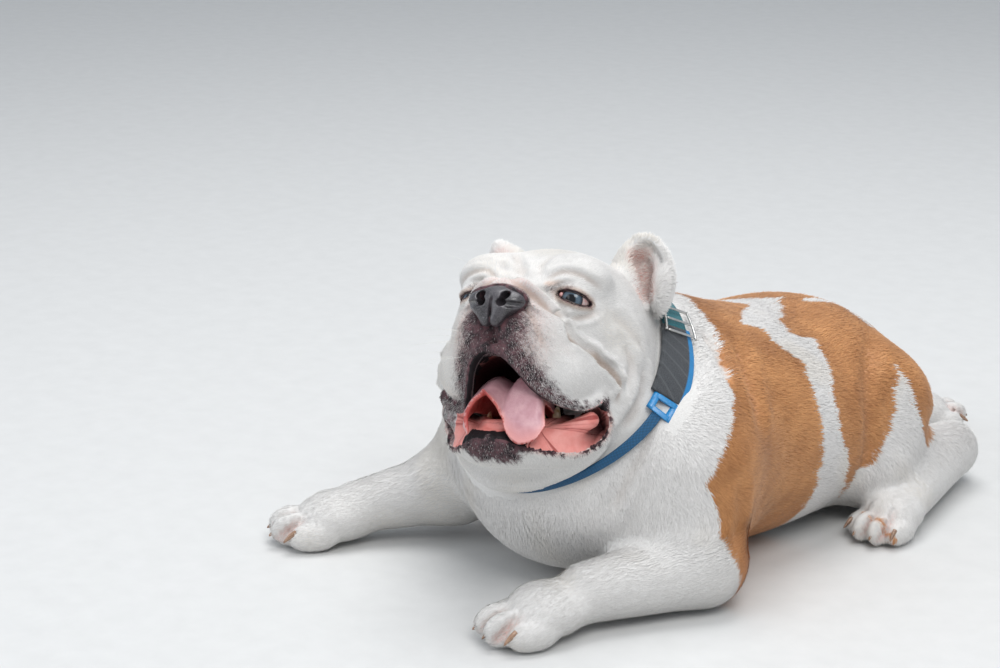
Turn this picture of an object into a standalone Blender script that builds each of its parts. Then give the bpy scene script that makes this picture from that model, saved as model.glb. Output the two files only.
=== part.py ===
"""English bulldog at rest on its chest, head up, mouth open, wearing a collar.

The flesh is one distance field made of named balls and limbs in metres.  It is turned
into a closed surface, thinned, and parted with flat cuts into one object for each part
of the body.  Eyes, tongue, claws and collar are made as solids of their own.
The dog faces -Y, its left side is +X, and it lies on Z = 0.
"""
import math

import bmesh
import bpy
import numpy as np
from mathutils import Matrix, Vector

# sizes and places, in metres and degrees, in the frame the dog was laid out in;
# finish() shifts everything by CENTRE_SHIFT and scales it by SIZE to the real size
CENTRE_SHIFT = np.array([0.0304, -0.1955, 0.0])
SIZE = 0.93
HEAD_AT = np.array([-0.006, -0.036, 0.250])
HEAD_YAW = 19.0
HEAD_PITCH = 24.0
HEAD_ROLL = -6.0
EYE_AT = np.array([0.0470, -0.0590, 0.0070])
EYE_RADIUS = 0.0140
COLLAR_AT = np.array([0.0, -0.010, 0.1815])
COLLAR_AXIS = np.array([-0.077, -0.617, 0.787])
COLLAR_WIDTH = 0.024
COLLAR_THICK = 0.0030
CORD_WIDTH = 0.010
GAP = 0.0003
NECK_LOW = -0.028
NECK_HIGH = 0.0150
NECK_RADIUS = 0.128
FINE_CELL = 0.0022
BODY_CELL = 0.0060
FINE_FACES = 5000
BODY_FACES = 4900
CLAW_LENGTH = 0.008
CLAW_RADIUS = 0.0036
FORE_PAW_SIZE = 1.0
HIND_PAW_SIZE = 0.86
LEFT_FORE_PAW = (0.094, -0.148, -22.0)
RIGHT_FORE_PAW = (-0.208, -0.130, -35.0)
LEFT_HIND_PAW = (0.166, 0.270, 3.0)
RIGHT_HIND_PAW = (0.004, 0.548, 158.0)
TOES = ((-0.0285, -0.026), (-0.0100, -0.038), (0.0100, -0.038), (0.0285, -0.026))

COLOURS = {
    "white_coat": (0.80, 0.77, 0.73, 1.0),
    "tan_coat": (0.52, 0.27, 0.12, 1.0),
    "eye": (0.16, 0.24, 0.32, 1.0),
    "tongue": (0.72, 0.36, 0.38, 1.0),
    "claw": (0.36, 0.24, 0.17, 1.0),
    "teal_webbing": (0.03, 0.22, 0.26, 1.0),
    "grey_webbing": (0.09, 0.10, 0.11, 1.0),
    "blue_plastic": (0.02, 0.28, 0.55, 1.0),
    "metal": (0.62, 0.60, 0.57, 1.0),
}


def turn_x(deg):
    c, s = math.cos(math.radians(deg)), math.sin(math.radians(deg))
    return np.array([[1.0, 0, 0], [0, c, -s], [0, s, c]])


def turn_y(deg):
    c, s = math.cos(math.radians(deg)), math.sin(math.radians(deg))
    return np.array([[c, 0, s], [0, 1.0, 0], [-s, 0, c]])


def turn_z(deg):
    c, s = math.cos(math.radians(deg)), math.sin(math.radians(deg))
    return np.array([[c, -s, 0], [s, c, 0], [0, 0, 1.0]])


HEAD_TURN = turn_z(HEAD_YAW) @ turn_x(-HEAD_PITCH) @ turn_y(HEAD_ROLL)
COLLAR_AXIS = COLLAR_AXIS / np.linalg.norm(COLLAR_AXIS)
COLLAR_SIDE = np.array([1.0, 0, 0]) - COLLAR_AXIS * COLLAR_AXIS[0]
COLLAR_SIDE = COLLAR_SIDE / np.linalg.norm(COLLAR_SIDE)
COLLAR_NAPE = np.cross(COLLAR_AXIS, COLLAR_SIDE)


def to_head(p):
    """points seen from the head: x to its left, y backwards, z up"""
    return (p - HEAD_AT) @ HEAD_TURN


def from_head(q):
    return np.asarray(q, float) @ HEAD_TURN.T + HEAD_AT


def mirrored(h):
    m = h.copy()
    m[:, 0] = np.abs(m[:, 0])
    return m


def ball(p, centre, radii):
    """about the distance to an ellipsoid"""
    q = p - np.asarray(centre)
    r = np.asarray(radii, float)
    k0 = np.linalg.norm(q / r, axis=1)
    k1 = np.linalg.norm(q / (r * r), axis=1) + 1e-9
    return k0 * (k0 - 1.0) / k1


def limb(p, a, b, ra, rb):
    """distance to a rod from a to b whose radius goes from ra to rb"""
    a = np.asarray(a, float)
    ab = np.asarray(b, float) - a
    t = np.clip((p - a) @ ab / (ab @ ab), 0, 1)
    return np.linalg.norm(p - a - t[:, None] * ab, axis=1) - (ra + t * (rb - ra))


def join(d1, d2, soft):
    """smooth union of two fields"""
    h = np.clip(0.5 + 0.5 * (d2 - d1) / soft, 0, 1)
    return d2 * (1 - h) + d1 * h - soft * h * (1 - h)


def carve(d1, d2, soft):
    """first field with the second taken away"""
    return -join(-d1, d2, soft)


def path_distance(p, pts):
    """distance to a chain of short straight pieces"""
    best = np.full(len(p), 1e9)
    for i in range(len(pts) - 1):
        ab = pts[i + 1] - pts[i]
        t = np.clip((p - pts[i]) @ ab / (ab @ ab), 0, 1)
        best = np.minimum(best, np.linalg.norm(p - pts[i] - t[:, None] * ab, axis=1))
    return best


def curve(pts, steps=4):
    """smooth chain through a few named places"""
    pts = np.asarray(pts, float)
    e = np.vstack([2 * pts[0] - pts[1], pts, 2 * pts[-1] - pts[-2]])
    out = []
    for i in range(1, len(e) - 2):
        a, b, c, d = e[i - 1], e[i], e[i + 1], e[i + 2]
        for t in np.arange(steps) / steps:
            out.append(0.5 * (2 * b + (c - a) * t + (2 * a - 5 * b + 4 * c - d) * t * t
                              + (3 * b - a - 3 * c + d) * t ** 3))
    out.append(pts[-1])
    return np.array(out)


NOSE_ROLL = curve([(0, -0.094, 0.012), (0.018, -0.094, 0.009), (0.031, -0.088, -0.004),
                   (0.044, -0.080, -0.024), (0.058, -0.066, -0.046), (0.068, -0.050, -0.058)])
LIP_RIM = curve([(0.074, -0.046, -0.082), (0.074, -0.034, -0.098), (0.067, -0.036, -0.112),
                 (0.053, -0.056, -0.121), (0.032, -0.078, -0.120), (0.012, -0.087, -0.116),
                 (0, -0.088, -0.115)])
GUM_RIDGE = curve([(0.038, -0.010, -0.094), (0.034, -0.046, -0.101), (0.022, -0.066, -0.107),
                   (0.010, -0.074, -0.109), (0, -0.075, -0.109)])
JAW_LINE = curve([(0.056, 0.010, -0.096), (0.052, -0.028, -0.111), (0.040, -0.055, -0.122),
                  (0.020, -0.071, -0.126), (0, -0.074, -0.126)])
UPPER_RIM = curve([(0, -0.104, -0.044), (0.014, -0.101, -0.050), (0.027, -0.096, -0.062),
                   (0.038, -0.090, -0.076), (0.050, -0.080, -0.086), (0.064, -0.066, -0.088),
                   (0.075, -0.054, -0.080)])
CHEEK_FOLD = curve([(0.067, -0.052, -0.040), (0.076, -0.040, -0.054), (0.080, -0.032, -0.072),
                    (0.077, -0.028, -0.092)])


def eye_way(side, high):
    """direction out of the eye, in degrees to the side and up from straight ahead"""
    a, b = math.radians(side), math.radians(high)
    f = np.array([0.36, -0.93, 0.02])
    f = f / np.linalg.norm(f)
    u = np.array([-f[1], f[0], 0.0])
    u = u / np.linalg.norm(u)
    v = np.cross(f, u) * -1.0
    v = v * np.sign(v[2])
    return f * math.cos(a) * math.cos(b) + u * math.sin(a) * math.cos(b) + v * math.sin(b)


LID_UP = np.array([EYE_AT + (EYE_RADIUS + 0.0020) * eye_way(s, h) for s, h in
                   ((-72, 10), (-45, 22), (-15, 27), (15, 20), (45, 6), (78, -14))])
LID_LOW = np.array([EYE_AT + (EYE_RADIUS + 0.0018) * eye_way(s, h) for s, h in
                    ((-72, 4), (-45, -10), (-15, -22), (15, -27), (45, -27), (78, -20))])
EYE_SLOT = np.array([EYE_AT + EYE_RADIUS * eye_way(s, h) for s, h in
                     ((-62, 5), (-30, 5), (0, 1), (30, -8), (64, -16))])


def head_field(p):
    h = to_head(p)
    m = mirrored(h)
    d = ball(h, (0, 0.010, 0.008), (0.079, 0.080, 0.056))
    d = join(d, ball(m, (0.041, -0.042, 0.028), (0.032, 0.026, 0.022)), 0.020)
    d = join(d, ball(m, (0.062, 0.008, -0.052), (0.037, 0.054, 0.062)), 0.030)
    d = join(d, ball(h, (0, -0.042, -0.018), (0.070, 0.040, 0.046)), 0.025)
    d = join(d, ball(h, (0, -0.086, -0.014), (0.032, 0.022, 0.026)), 0.016)
    # flews at the sides of the mouth
    d = join(d, limb(m, (0.024, -0.083, -0.030), (0.046, -0.066, -0.060), 0.025, 0.026), 0.010)
    d = join(d, limb(m, (0.046, -0.066, -0.060), (0.062, -0.042, -0.066), 0.025, 0.020), 0.010)
    # lower jaw and throat
    d = join(d, path_distance(m, JAW_LINE) - 0.018, 0.012)
    d = join(d, ball(h, (0, -0.015, -0.120), (0.050, 0.058, 0.026)), 0.020)
    # hollow of the open mouth
    hollow = ball(h, (0, -0.062, -0.078), (0.031, 0.078, 0.028))
    hollow = join(hollow, ball(h, (0, -0.058, -0.098), (0.044, 0.062, 0.016)), 0.006)
    side = limb(m, (0.034, -0.088, -0.098), (0.066, -0.052, -0.093), 0.014, 0.008)
    d = carve(d, join(hollow, side, 0.006), 0.005)
    d = join(d, path_distance(m, GUM_RIDGE) - 0.0060, 0.006)
    d = join(d, path_distance(m, LIP_RIM) - 0.0050, 0.006)
    d = join(d, path_distance(m, UPPER_RIM) - 0.0045, 0.010)
    # folds over the nose and behind the mouth
    d = join(d, path_distance(m, NOSE_ROLL) - 0.0085, 0.006)
    d = join(d, path_distance(m, CHEEK_FOLD) - 0.0080, 0.008)
    # nose and nostrils
    nose = ball(h, (0, -0.108, -0.002), (0.025, 0.013, 0.0165))
    nose = join(nose, ball(m, (0.016, -0.106, -0.004), (0.012, 0.011, 0.010)), 0.006)
    d = join(d, nose, 0.003)
    d = carve(d, limb(m, (0.0105, -0.121, 0.002), (0.0215, -0.116, -0.007), 0.0046, 0.0022), 0.002)
    d = carve(d, limb(h, (0, -0.1225, -0.006), (0, -0.1100, -0.040), 0.0022, 0.0026), 0.002)
    # eye hollow, lids and the slot between them
    d = carve(d, ball(m, EYE_AT + eye_way(0, 0) * 0.018, (0.021, 0.012, 0.010)), 0.010)
    d = join(d, np.linalg.norm(m - EYE_AT, axis=1) - (EYE_RADIUS + 0.0030), 0.004)
    d = carve(d, path_distance(m, EYE_SLOT) - 0.0048, 0.002)
    lids = np.minimum(path_distance(m, LID_UP), path_distance(m, LID_LOW))
    return join(d, lids - 0.0022, 0.002)


def ear_field(p):
    """left ear open to the front, right ear folded further back"""
    h = to_head(p)
    left = ball(h, (0.070, 0.042, 0.046), (0.032, 0.016, 0.037))
    left = join(left, limb(h, (0.056, 0.038, 0.040), (0.064, 0.044, 0.068), 0.018, 0.013), 0.012)
    left = carve(left, limb(h, (0.066, 0.024, 0.068), (0.080, 0.022, 0.036), 0.009, 0.012), 0.006)
    r = h * np.array([-1.0, 1.0, 1.0])
    right = ball(r, (0.068, 0.046, 0.042), (0.027, 0.015, 0.033))
    right = join(right, limb(r, (0.060, 0.040, 0.040), (0.076, 0.042, 0.071), 0.016, 0.008), 0.010)
    right = carve(right, limb(r, (0.070, 0.026, 0.060), (0.076, 0.026, 0.036), 0.008, 0.010), 0.006)
    return np.minimum(left, right)


def paw_field(p, place, size):
    """pad of the foot with four toes; place is x, y and the turn about the upright"""
    q = (p - np.array([place[0], place[1], 0.0])) @ turn_z(place[2]) / size
    d = ball(q, (0, 0.004, 0.026), (0.035, 0.040, 0.026))
    for x, y in TOES:
        d = join(d, ball(q, (x, y, 0.018), (0.0125, 0.022, 0.0185)), 0.005)
    return d * size


def torso_field(p):
    m = mirrored(p)
    d = ball(p, (0, 0.10, 0.115), (0.146, 0.160, 0.118))
    d = join(d, ball(p, (0, 0.22, 0.095), (0.150, 0.170, 0.108)), 0.050)
    d = join(d, ball(p, (0, 0.32, 0.092), (0.124, 0.105, 0.100)), 0.050)
    d = join(d, ball(m, (0.106, 0.03, 0.110), (0.060, 0.080, 0.095)), 0.040)
    d = join(d, ball(p, (0, -0.025, 0.10), (0.105, 0.085, 0.090)), 0.050)
    d = join(d, limb(p, (0, 0.08, 0.150), from_head((0, 0.045, -0.030)), 0.090, 0.080), 0.050)
    return join(d, limb(p, (0, 0.395, 0.130), (0.012, 0.436, 0.108), 0.020, 0.011), 0.012)


def left_fore_field(p):
    d = limb(p, (0.120, 0.020, 0.120), (0.145, 0.005, 0.050), 0.058, 0.042)
    d = join(d, limb(p, (0.148, 0.0, 0.040), (0.108, -0.105, 0.034), 0.039, 0.029), 0.020)
    return join(d, paw_field(p, LEFT_FORE_PAW, FORE_PAW_SIZE), 0.012)


def right_fore_field(p):
    d = limb(p, (-0.105, 0.0, 0.110), (-0.140, -0.030, 0.055), 0.054, 0.040)
    d = join(d, limb(p, (-0.140, -0.030, 0.050), (-0.192, -0.105, 0.034), 0.038, 0.027), 0.020)
    return join(d, paw_field(p, RIGHT_FORE_PAW, FORE_PAW_SIZE), 0.012)


def left_hind_field(p):
    d = limb(p, (0.090, 0.330, 0.100), (0.118, 0.292, 0.056), 0.064, 0.046)
    d = join(d, limb(p, (0.122, 0.310, 0.048), (0.122, 0.430, 0.040), 0.036, 0.026), 0.020)
    d = join(d, limb(p, (0.122, 0.432, 0.033), (0.160, 0.310, 0.028), 0.026, 0.024), 0.015)
    return join(d, paw_field(p, LEFT_HIND_PAW, HIND_PAW_SIZE), 0.012)


def right_hind_field(p):
    d = limb(p, (-0.090, 0.330, 0.090), (-0.120, 0.370, 0.050), 0.064, 0.044)
    d = join(d, limb(p, (-0.110, 0.380, 0.045), (-0.050, 0.470, 0.035), 0.036, 0.030), 0.020)
    d = join(d, limb(p, (-0.050, 0.480, 0.030), (-0.004, 0.535, 0.027), 0.026, 0.026), 0.015)
    return join(d, paw_field(p, RIGHT_HIND_PAW, HIND_PAW_SIZE), 0.012)


def flesh_field(p):
    d = join(head_field(p), ear_field(p), 0.008)
    d = join(torso_field(p), d, 0.016)
    for leg in (left_fore_field, right_fore_field, left_hind_field, right_hind_field):
        d = join(d, leg(p), 0.020)
    return d


def collar_height(p):
    return (p - COLLAR_AT) @ COLLAR_AXIS


def fine_field(p):
    """flesh of the head only, closed by a flat face that lies beyond the neck cut"""
    return np.maximum(flesh_field(p), NECK_HIGH - 0.006 - collar_height(p))


def fill_crossed_corners(grid, cell):
    """fills squares whose filled corners touch only across the diagonal, so no edge is shared twice"""
    for _ in range(6):
        inside = grid < 0
        mark = np.zeros(grid.shape, bool)
        for axis in range(3):
            u, v = [i for i in range(3) if i != axis]
            where = {}
            for du in (0, 1):
                for dv in (0, 1):
                    cut = [slice(None)] * 3
                    cut[u] = slice(du, grid.shape[u] - 1 + du)
                    cut[v] = slice(dv, grid.shape[v] - 1 + dv)
                    where[du, dv] = tuple(cut)
            a, b = inside[where[0, 0]], inside[where[1, 1]]
            c, d = inside[where[1, 0]], inside[where[0, 1]]
            bad = (a & b & ~c & ~d) | (c & d & ~a & ~b)
            for cut in where.values():
                mark[cut] |= bad
        mark &= ~inside
        if not mark.any():
            return
        grid[mark] = -0.05 * cell


def surface_of(field, low, high, cell):
    """closed quad surface where the field is zero: one point in each crossed cell"""
    low = np.asarray(low, float)
    count = np.ceil((np.asarray(high, float) - low) / cell).astype(int) + 1
    block = 8
    blocks = (count + block) // block
    count = blocks * block + 1
    mids = [low[i] + cell * block * (np.arange(blocks[i]) + 0.5) for i in range(3)]
    coarse = np.stack(np.meshgrid(*mids, indexing="ij"), -1).reshape(-1, 3)
    rough = field(coarse).reshape(blocks)
    grid = rough
    for axis in range(3):
        grid = np.repeat(grid, block, axis)
    grid = np.pad(grid, ((0, 1), (0, 1), (0, 1)), mode="edge")
    reach = cell * block * 0.5 * math.sqrt(3) * 1.25 + 0.004
    near = np.argwhere(np.abs(rough) < reach)
    step = np.stack(np.meshgrid(*[np.arange(block + 1)] * 3, indexing="ij"), -1).reshape(-1, 3)
    todo = np.zeros(count, bool)
    at = (near[:, None, :] * block + step[None]).reshape(-1, 3)
    todo[at[:, 0], at[:, 1], at[:, 2]] = True
    at = np.argwhere(todo)
    values = np.empty(len(at))
    for start in range(0, len(at), 400000):
        values[start:start + 400000] = field(low + at[start:start + 400000] * cell)
    grid[todo] = values
    for axis in range(3):
        for end in (0, -1):
            where = [slice(None)] * 3
            where[axis] = end
            grid[tuple(where)] = np.maximum(grid[tuple(where)], cell * 0.5)
    fill_crossed_corners(grid, cell)
    inside = grid < 0
    corners = [(x, y, z) for x in (0, 1) for y in (0, 1) for z in (0, 1)]
    filled = sum(inside[x:count[0] - 1 + x, y:count[1] - 1 + y, z:count[2] - 1 + z].astype(int)
                 for x, y, z in corners)
    cells = np.argwhere((filled > 0) & (filled < 8))
    value = np.stack([grid[cells[:, 0] + x, cells[:, 1] + y, cells[:, 2] + z]
                      for x, y, z in corners], 1)
    total = np.zeros((len(cells), 3))
    number = np.zeros(len(cells))
    for i in range(8):
        for j in range(i + 1, 8):
            a, b = np.array(corners[i]), np.array(corners[j])
            if np.abs(a - b).sum() != 1:
                continue
            crossed = (value[:, i] < 0) != (value[:, j] < 0)
            span = np.where(crossed, value[:, i] - value[:, j], 1.0)
            t = np.where(crossed, value[:, i] / span, 0.0)
            total += crossed[:, None] * (a + t[:, None] * (b - a))
            number += crossed
    points = low + (cells + total / number[:, None]) * cell
    name = np.full(count - 1, -1, np.int64)
    name[cells[:, 0], cells[:, 1], cells[:, 2]] = np.arange(len(cells))
    faces = []
    for axis in range(3):
        one, two = [(1, 2), (2, 0), (0, 1)][axis]
        here = [slice(0, count[i] - 1) if i == axis else slice(1, count[i] - 1) for i in range(3)]
        there = list(here)
        there[axis] = slice(1, count[axis])
        edge = np.argwhere(inside[tuple(here)] != inside[tuple(there)])
        outward = inside[tuple(here)][edge[:, 0], edge[:, 1], edge[:, 2]]
        base = edge + np.array([0 if i == axis else 1 for i in range(3)])
        u, v = np.eye(3, dtype=int)[one], np.eye(3, dtype=int)[two]
        quad = np.stack([name[tuple(c.T)] for c in (base - u - v, base - v, base, base - u)], 1)
        quad[~outward] = quad[~outward][:, ::-1]
        faces.append(quad)
    return points, np.concatenate(faces)


def settle(field, points, rounds=2):
    """moves points onto the zero of the field along its slope"""
    tiny = 0.0004
    for _ in range(rounds):
        d = field(points)
        slope = np.stack([(field(points + tiny * e) - d) / tiny for e in np.eye(3)], 1)
        move = -(d / ((slope * slope).sum(1) + 0.05))[:, None] * slope
        length = np.linalg.norm(move, axis=1, keepdims=True)
        points = points + move * np.minimum(1.0, 0.002 / np.maximum(length, 1e-9))
    return points


def mesh_object(name, points, faces):
    mesh = bpy.data.meshes.new(name)
    mesh.from_pydata([tuple(p) for p in np.asarray(points)], [], [tuple(f) for f in faces])
    mesh.update()
    thing = bpy.data.objects.new(name, mesh)
    bpy.context.scene.collection.objects.link(thing)
    return thing


def bake(thing):
    """replaces the mesh by the result of its modifiers"""
    graph = bpy.context.evaluated_depsgraph_get()
    mesh = bpy.data.meshes.new_from_object(thing.evaluated_get(graph))
    thing.modifiers.clear()
    thing.data = mesh
    return thing


def thinned(thing, wanted):
    """reduces the triangle count while keeping the form"""
    have = sum(len(f.vertices) - 2 for f in thing.data.polygons)
    change = thing.modifiers.new("thin", "DECIMATE")
    change.ratio = min(1.0, wanted / have)
    change.use_collapse_triangulate = True
    return bake(thing)


def volume_of(mesh):
    form = bmesh.new()
    form.from_mesh(mesh)
    size = form.calc_volume(signed=True)
    form.free()
    return size


def boolean(thing, cutter, way):
    """boolean cut or union; the second solver is used only where the first changes nothing"""
    before = volume_of(thing.data)
    source = thing.data
    for solver in ("EXACT", "MANIFOLD"):
        change = thing.modifiers.new(way.lower(), "BOOLEAN")
        change.operation = way
        change.solver = solver
        change.object = cutter
        bake(thing)
        after = volume_of(thing.data)
        if after > 0 and abs(after - before) > 1e-10:
            break
        thing.data = source
    return thing


def discard(thing):
    bpy.data.objects.remove(thing, do_unlink=True)


def region(name, planes, far=1.2):
    """convex solid kept behind each plane, given by a point and its outward normal"""
    mesh = bpy.data.meshes.new(name)
    form = bmesh.new()
    bmesh.ops.create_cube(form, size=2 * far)
    for point, normal in planes:
        every = list(form.verts) + list(form.edges) + list(form.faces)
        cut = bmesh.ops.bisect_plane(form, geom=every, dist=1e-7, plane_co=Vector(point),
                                     plane_no=Vector(normal).normalized(), clear_outer=True)
        rim = [g for g in cut["geom_cut"] if isinstance(g, bmesh.types.BMEdge)]
        bmesh.ops.edgeloop_fill(form, edges=rim)
    bmesh.ops.recalc_face_normals(form, faces=list(form.faces))
    form.to_mesh(mesh)
    form.free()
    thing = bpy.data.objects.new(name, mesh)
    bpy.context.scene.collection.objects.link(thing)
    return thing


def grown(planes, by):
    out = []
    for point, normal in planes:
        n = np.asarray(normal, float)
        n = n / np.linalg.norm(n)
        out.append((tuple(np.asarray(point, float) + n * by), tuple(n)))
    return out


def head_planes(planes):
    """planes given in the head's frame, turned into the dog's frame"""
    return [(tuple(from_head(p)), tuple(HEAD_TURN @ np.asarray(n, float))) for p, n in planes]


def drum(name, low, high, radius, steps=40):
    """round slab about the axis of the neck"""
    way = Matrix((COLLAR_SIDE, COLLAR_NAPE, COLLAR_AXIS)).transposed().to_4x4()
    way.translation = Vector(COLLAR_AT + COLLAR_AXIS * (low + high) / 2)
    mesh = bpy.data.meshes.new(name)
    form = bmesh.new()
    bmesh.ops.create_cone(form, cap_ends=True, segments=steps, radius1=radius, radius2=radius,
                          depth=high - low, matrix=way)
    bmesh.ops.recalc_face_normals(form, faces=list(form.faces))
    form.to_mesh(mesh)
    form.free()
    thing = bpy.data.objects.new(name, mesh)
    bpy.context.scene.collection.objects.link(thing)
    return thing


def copy_of(thing, name):
    other = thing.copy()
    other.data = thing.data.copy()
    other.name = name
    bpy.context.scene.collection.objects.link(other)
    return other


def largest(thing):
    """keeps the largest closed surface of a mesh"""
    form = bmesh.new()
    form.from_mesh(thing.data)
    form.verts.ensure_lookup_table()
    seen = np.zeros(len(form.verts), bool)
    groups = []
    for start in form.verts:
        if seen[start.index]:
            continue
        stack, group = [start], []
        seen[start.index] = True
        while stack:
            v = stack.pop()
            group.append(v)
            for e in v.link_edges:
                w = e.other_vert(v)
                if not seen[w.index]:
                    seen[w.index] = True
                    stack.append(w)
        groups.append(group)
    groups.sort(key=len, reverse=True)
    for group in groups[1:]:
        bmesh.ops.delete(form, geom=group, context="VERTS")
    bmesh.ops.triangulate(form, faces=[f for f in form.faces if len(f.verts) > 4])
    form.to_mesh(thing.data)
    form.free()
    return thing


def part_of(source, name, planes, less=()):
    """piece of a source inside the planes, less some cutters"""
    thing = copy_of(source, name)
    zone = region(name + "_zone", planes)
    boolean(thing, zone, "INTERSECT")
    discard(zone)
    for cutter in less:
        boolean(thing, cutter, "DIFFERENCE")
    return largest(thing)


def loft(name, rings, closed=False):
    """skin over rings of equal length; ends are capped unless the rings close up"""
    rings = [np.asarray(r, float) for r in rings]
    n = len(rings[0])
    faces = []
    count = len(rings)
    for i in range(count if closed else count - 1):
        for j in range(n):
            a, b = i * n + j, i * n + (j + 1) % n
            c, d = ((i + 1) % count) * n + (j + 1) % n, ((i + 1) % count) * n + j
            faces.append((a, b, c, d))
    if not closed:
        faces.append(tuple(range(n - 1, -1, -1)))
        faces.append(tuple((count - 1) * n + j for j in range(n)))
    thing = mesh_object(name, np.concatenate(rings), faces)
    form = bmesh.new()
    form.from_mesh(thing.data)
    bmesh.ops.recalc_face_normals(form, faces=list(form.faces))
    form.to_mesh(thing.data)
    form.free()
    return thing


def rod(name, path, radii, sides=8):
    """round rod along a short path, with its own radius at each place"""
    path = np.asarray(path, float)
    way = np.gradient(path, axis=0)
    rings = []
    for at, ahead, r in zip(path, way, radii):
        ahead = ahead / np.linalg.norm(ahead)
        u = np.cross(ahead, (0.3, 0.1, 1.0))
        u = u / np.linalg.norm(u)
        v = np.cross(ahead, u)
        turn = np.arange(sides) * 2 * math.pi / sides
        rings.append(at + r * (np.cos(turn)[:, None] * u + np.sin(turn)[:, None] * v))
    return loft(name, rings)


def sphere(name, centre, radius, u=20, v=10):
    mesh = bpy.data.meshes.new(name)
    form = bmesh.new()
    bmesh.ops.create_uvsphere(form, u_segments=u, v_segments=v, radius=radius,
                              matrix=Matrix.Translation(Vector(centre)))
    form.to_mesh(mesh)
    form.free()
    thing = bpy.data.objects.new(name, mesh)
    bpy.context.scene.collection.objects.link(thing)
    return thing


def tongue_rings(rows=13, across=11, more=0.0):
    """rings of the tongue from throat to tip: broad, grooved, its right half arched up"""
    keys = [0.0, 0.25, 0.50, 0.72, 0.88, 1.0]
    rings = []
    for s in np.linspace(0, 1, rows):
        y = np.interp(s, keys, [-0.010, -0.035, -0.060, -0.082, -0.099, -0.103])
        z = np.interp(s, keys, [-0.090, -0.080, -0.077, -0.082, -0.098, -0.119])
        half = np.interp(s, keys, [0.020, 0.030, 0.034, 0.038, 0.039, 0.030])
        slope = np.interp(s, keys, [0.4, 0.2, 0.0, -0.4, -1.2, -2.4])
        normal = np.array([0.0, slope, 1.0]) / math.hypot(slope, 1.0)
        t = np.linspace(-1, 1, across)
        rise = np.clip((s - 0.68) / 0.32, 0, 1)
        rise = rise * rise * (3 - 2 * rise)
        lift = 0.034 * rise * np.sin(math.pi * np.clip((-t - 0.02) / 0.98, 0, 1)) ** 0.8
        crown = 0.004 * (1 - t * t) - 0.0025 * np.exp(-(t / 0.16) ** 2)
        thick = (0.0035 + 0.0040 * (1 - t * t)) * (1 - 0.35 * s ** 4)
        top = np.stack([0.0035 + half * t, np.full(across, y), z + lift], 1)
        top = top + normal * crown[:, None]
        under = top - normal * (thick + more)[:, None]
        top = top + normal * more
        if more:
            top[0, 0] -= more
            top[-1, 0] += more
            under[0, 0] -= more
            under[-1, 0] += more
        ring = np.concatenate([top, under[::-1]])
        rings.append(from_head(ring))
    return rings


def claw(name, place, size, toe, more=0.0):
    """curved claw standing out of the front of a toe; more makes it larger all round"""
    x, y = TOES[toe]
    turn = turn_z(place[2])
    base = np.array([x, y - 0.012, 0.0215])
    way = np.array([x * 6, -0.86, -0.30])
    way = way / np.linalg.norm(way)
    path, radii = [], []
    for t in np.linspace(0, 1, 4):
        ahead = t * (CLAW_LENGTH + 0.006 + 2 * more) - more
        path.append(base + way * ahead - np.array([0, 0, 0.004]) * t * t)
        radii.append(CLAW_RADIUS * (1 - 0.72 * t))
    path = np.array(path) * size @ turn.T + np.array([place[0], place[1], 0.0])
    return rod(name, path, np.array(radii) * size + more, sides=6)


def neck_radius(angle, high):
    """how far the flesh reaches from the neck's axis at an angle from the nape"""
    out = COLLAR_SIDE * math.sin(angle) + COLLAR_NAPE * math.cos(angle)
    r = np.linspace(0.070, 0.160, 181)
    p = COLLAR_AT + COLLAR_AXIS * high + out * r[:, None]
    d = flesh_field(p)
    first = int(np.argmax(d > 0)) if (d > 0).any() else 180
    return r[first]


def collar_radii():
    """smoothed reach of the flesh at both edges of the strap, every five degrees"""
    angles = np.radians(np.arange(0, 360, 5))
    rows = []
    for high in (-COLLAR_WIDTH / 2, COLLAR_WIDTH / 2):
        reach = np.array([neck_radius(a, high + 0.001) for a in angles])
        reach = np.clip(reach, 0.090, 0.124)
        wave = np.fft.rfft(reach)
        wave[5:] = 0
        rows.append(np.fft.irfft(wave, len(angles)))
    return rows


def band(name, start, end, low, high, inner, outer, reach):
    """piece of the collar between two angles and two heights, at given depths"""
    rings = []
    count = max(2, int(round(abs(end - start) / 5.0)) + 1)
    for deg in np.linspace(start, end, count):
        a = math.radians(deg)
        out = COLLAR_SIDE * math.sin(a) + COLLAR_NAPE * math.cos(a)
        ring = []
        for height, depth in ((low, inner), (low, outer), (high, outer), (high, inner)):
            share = np.clip(height / COLLAR_WIDTH + 0.5, 0, 1)
            where = (deg % 360) / 5.0
            i = int(where) % 72
            f = where - int(where)
            r0 = reach[0][i] * (1 - f) + reach[0][(i + 1) % 72] * f
            r1 = reach[1][i] * (1 - f) + reach[1][(i + 1) % 72] * f
            r = r0 * (1 - share) + r1 * share + depth
            ring.append(COLLAR_AT + COLLAR_AXIS * (height + 0.001) + out * r)
        rings.append(ring)
    return loft(name, rings)


def dress(thing, slot):
    """gives one object its own plain material"""
    material = bpy.data.materials.new(thing.name + "_material")
    material.use_nodes = True
    shader = material.node_tree.nodes["Principled BSDF"]
    shader.inputs["Base Color"].default_value = COLOURS[slot]
    shader.inputs["Roughness"].default_value = 0.25 if slot in ("metal", "eye") else 0.7
    shader.inputs["Metallic"].default_value = 1.0 if slot == "metal" else 0.0
    thing.data.materials.clear()
    thing.data.materials.append(material)


def finish(thing, slot, smooth=True):
    """moves a mesh to the final frame and size, shades it and gives it a colour"""
    thing.data.transform(Matrix.Scale(SIZE, 4) @ Matrix.Translation(Vector(CENTRE_SHIFT)))
    for face in thing.data.polygons:
        face.use_smooth = smooth
    thing.data.update()
    dress(thing, slot)
    return thing


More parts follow.
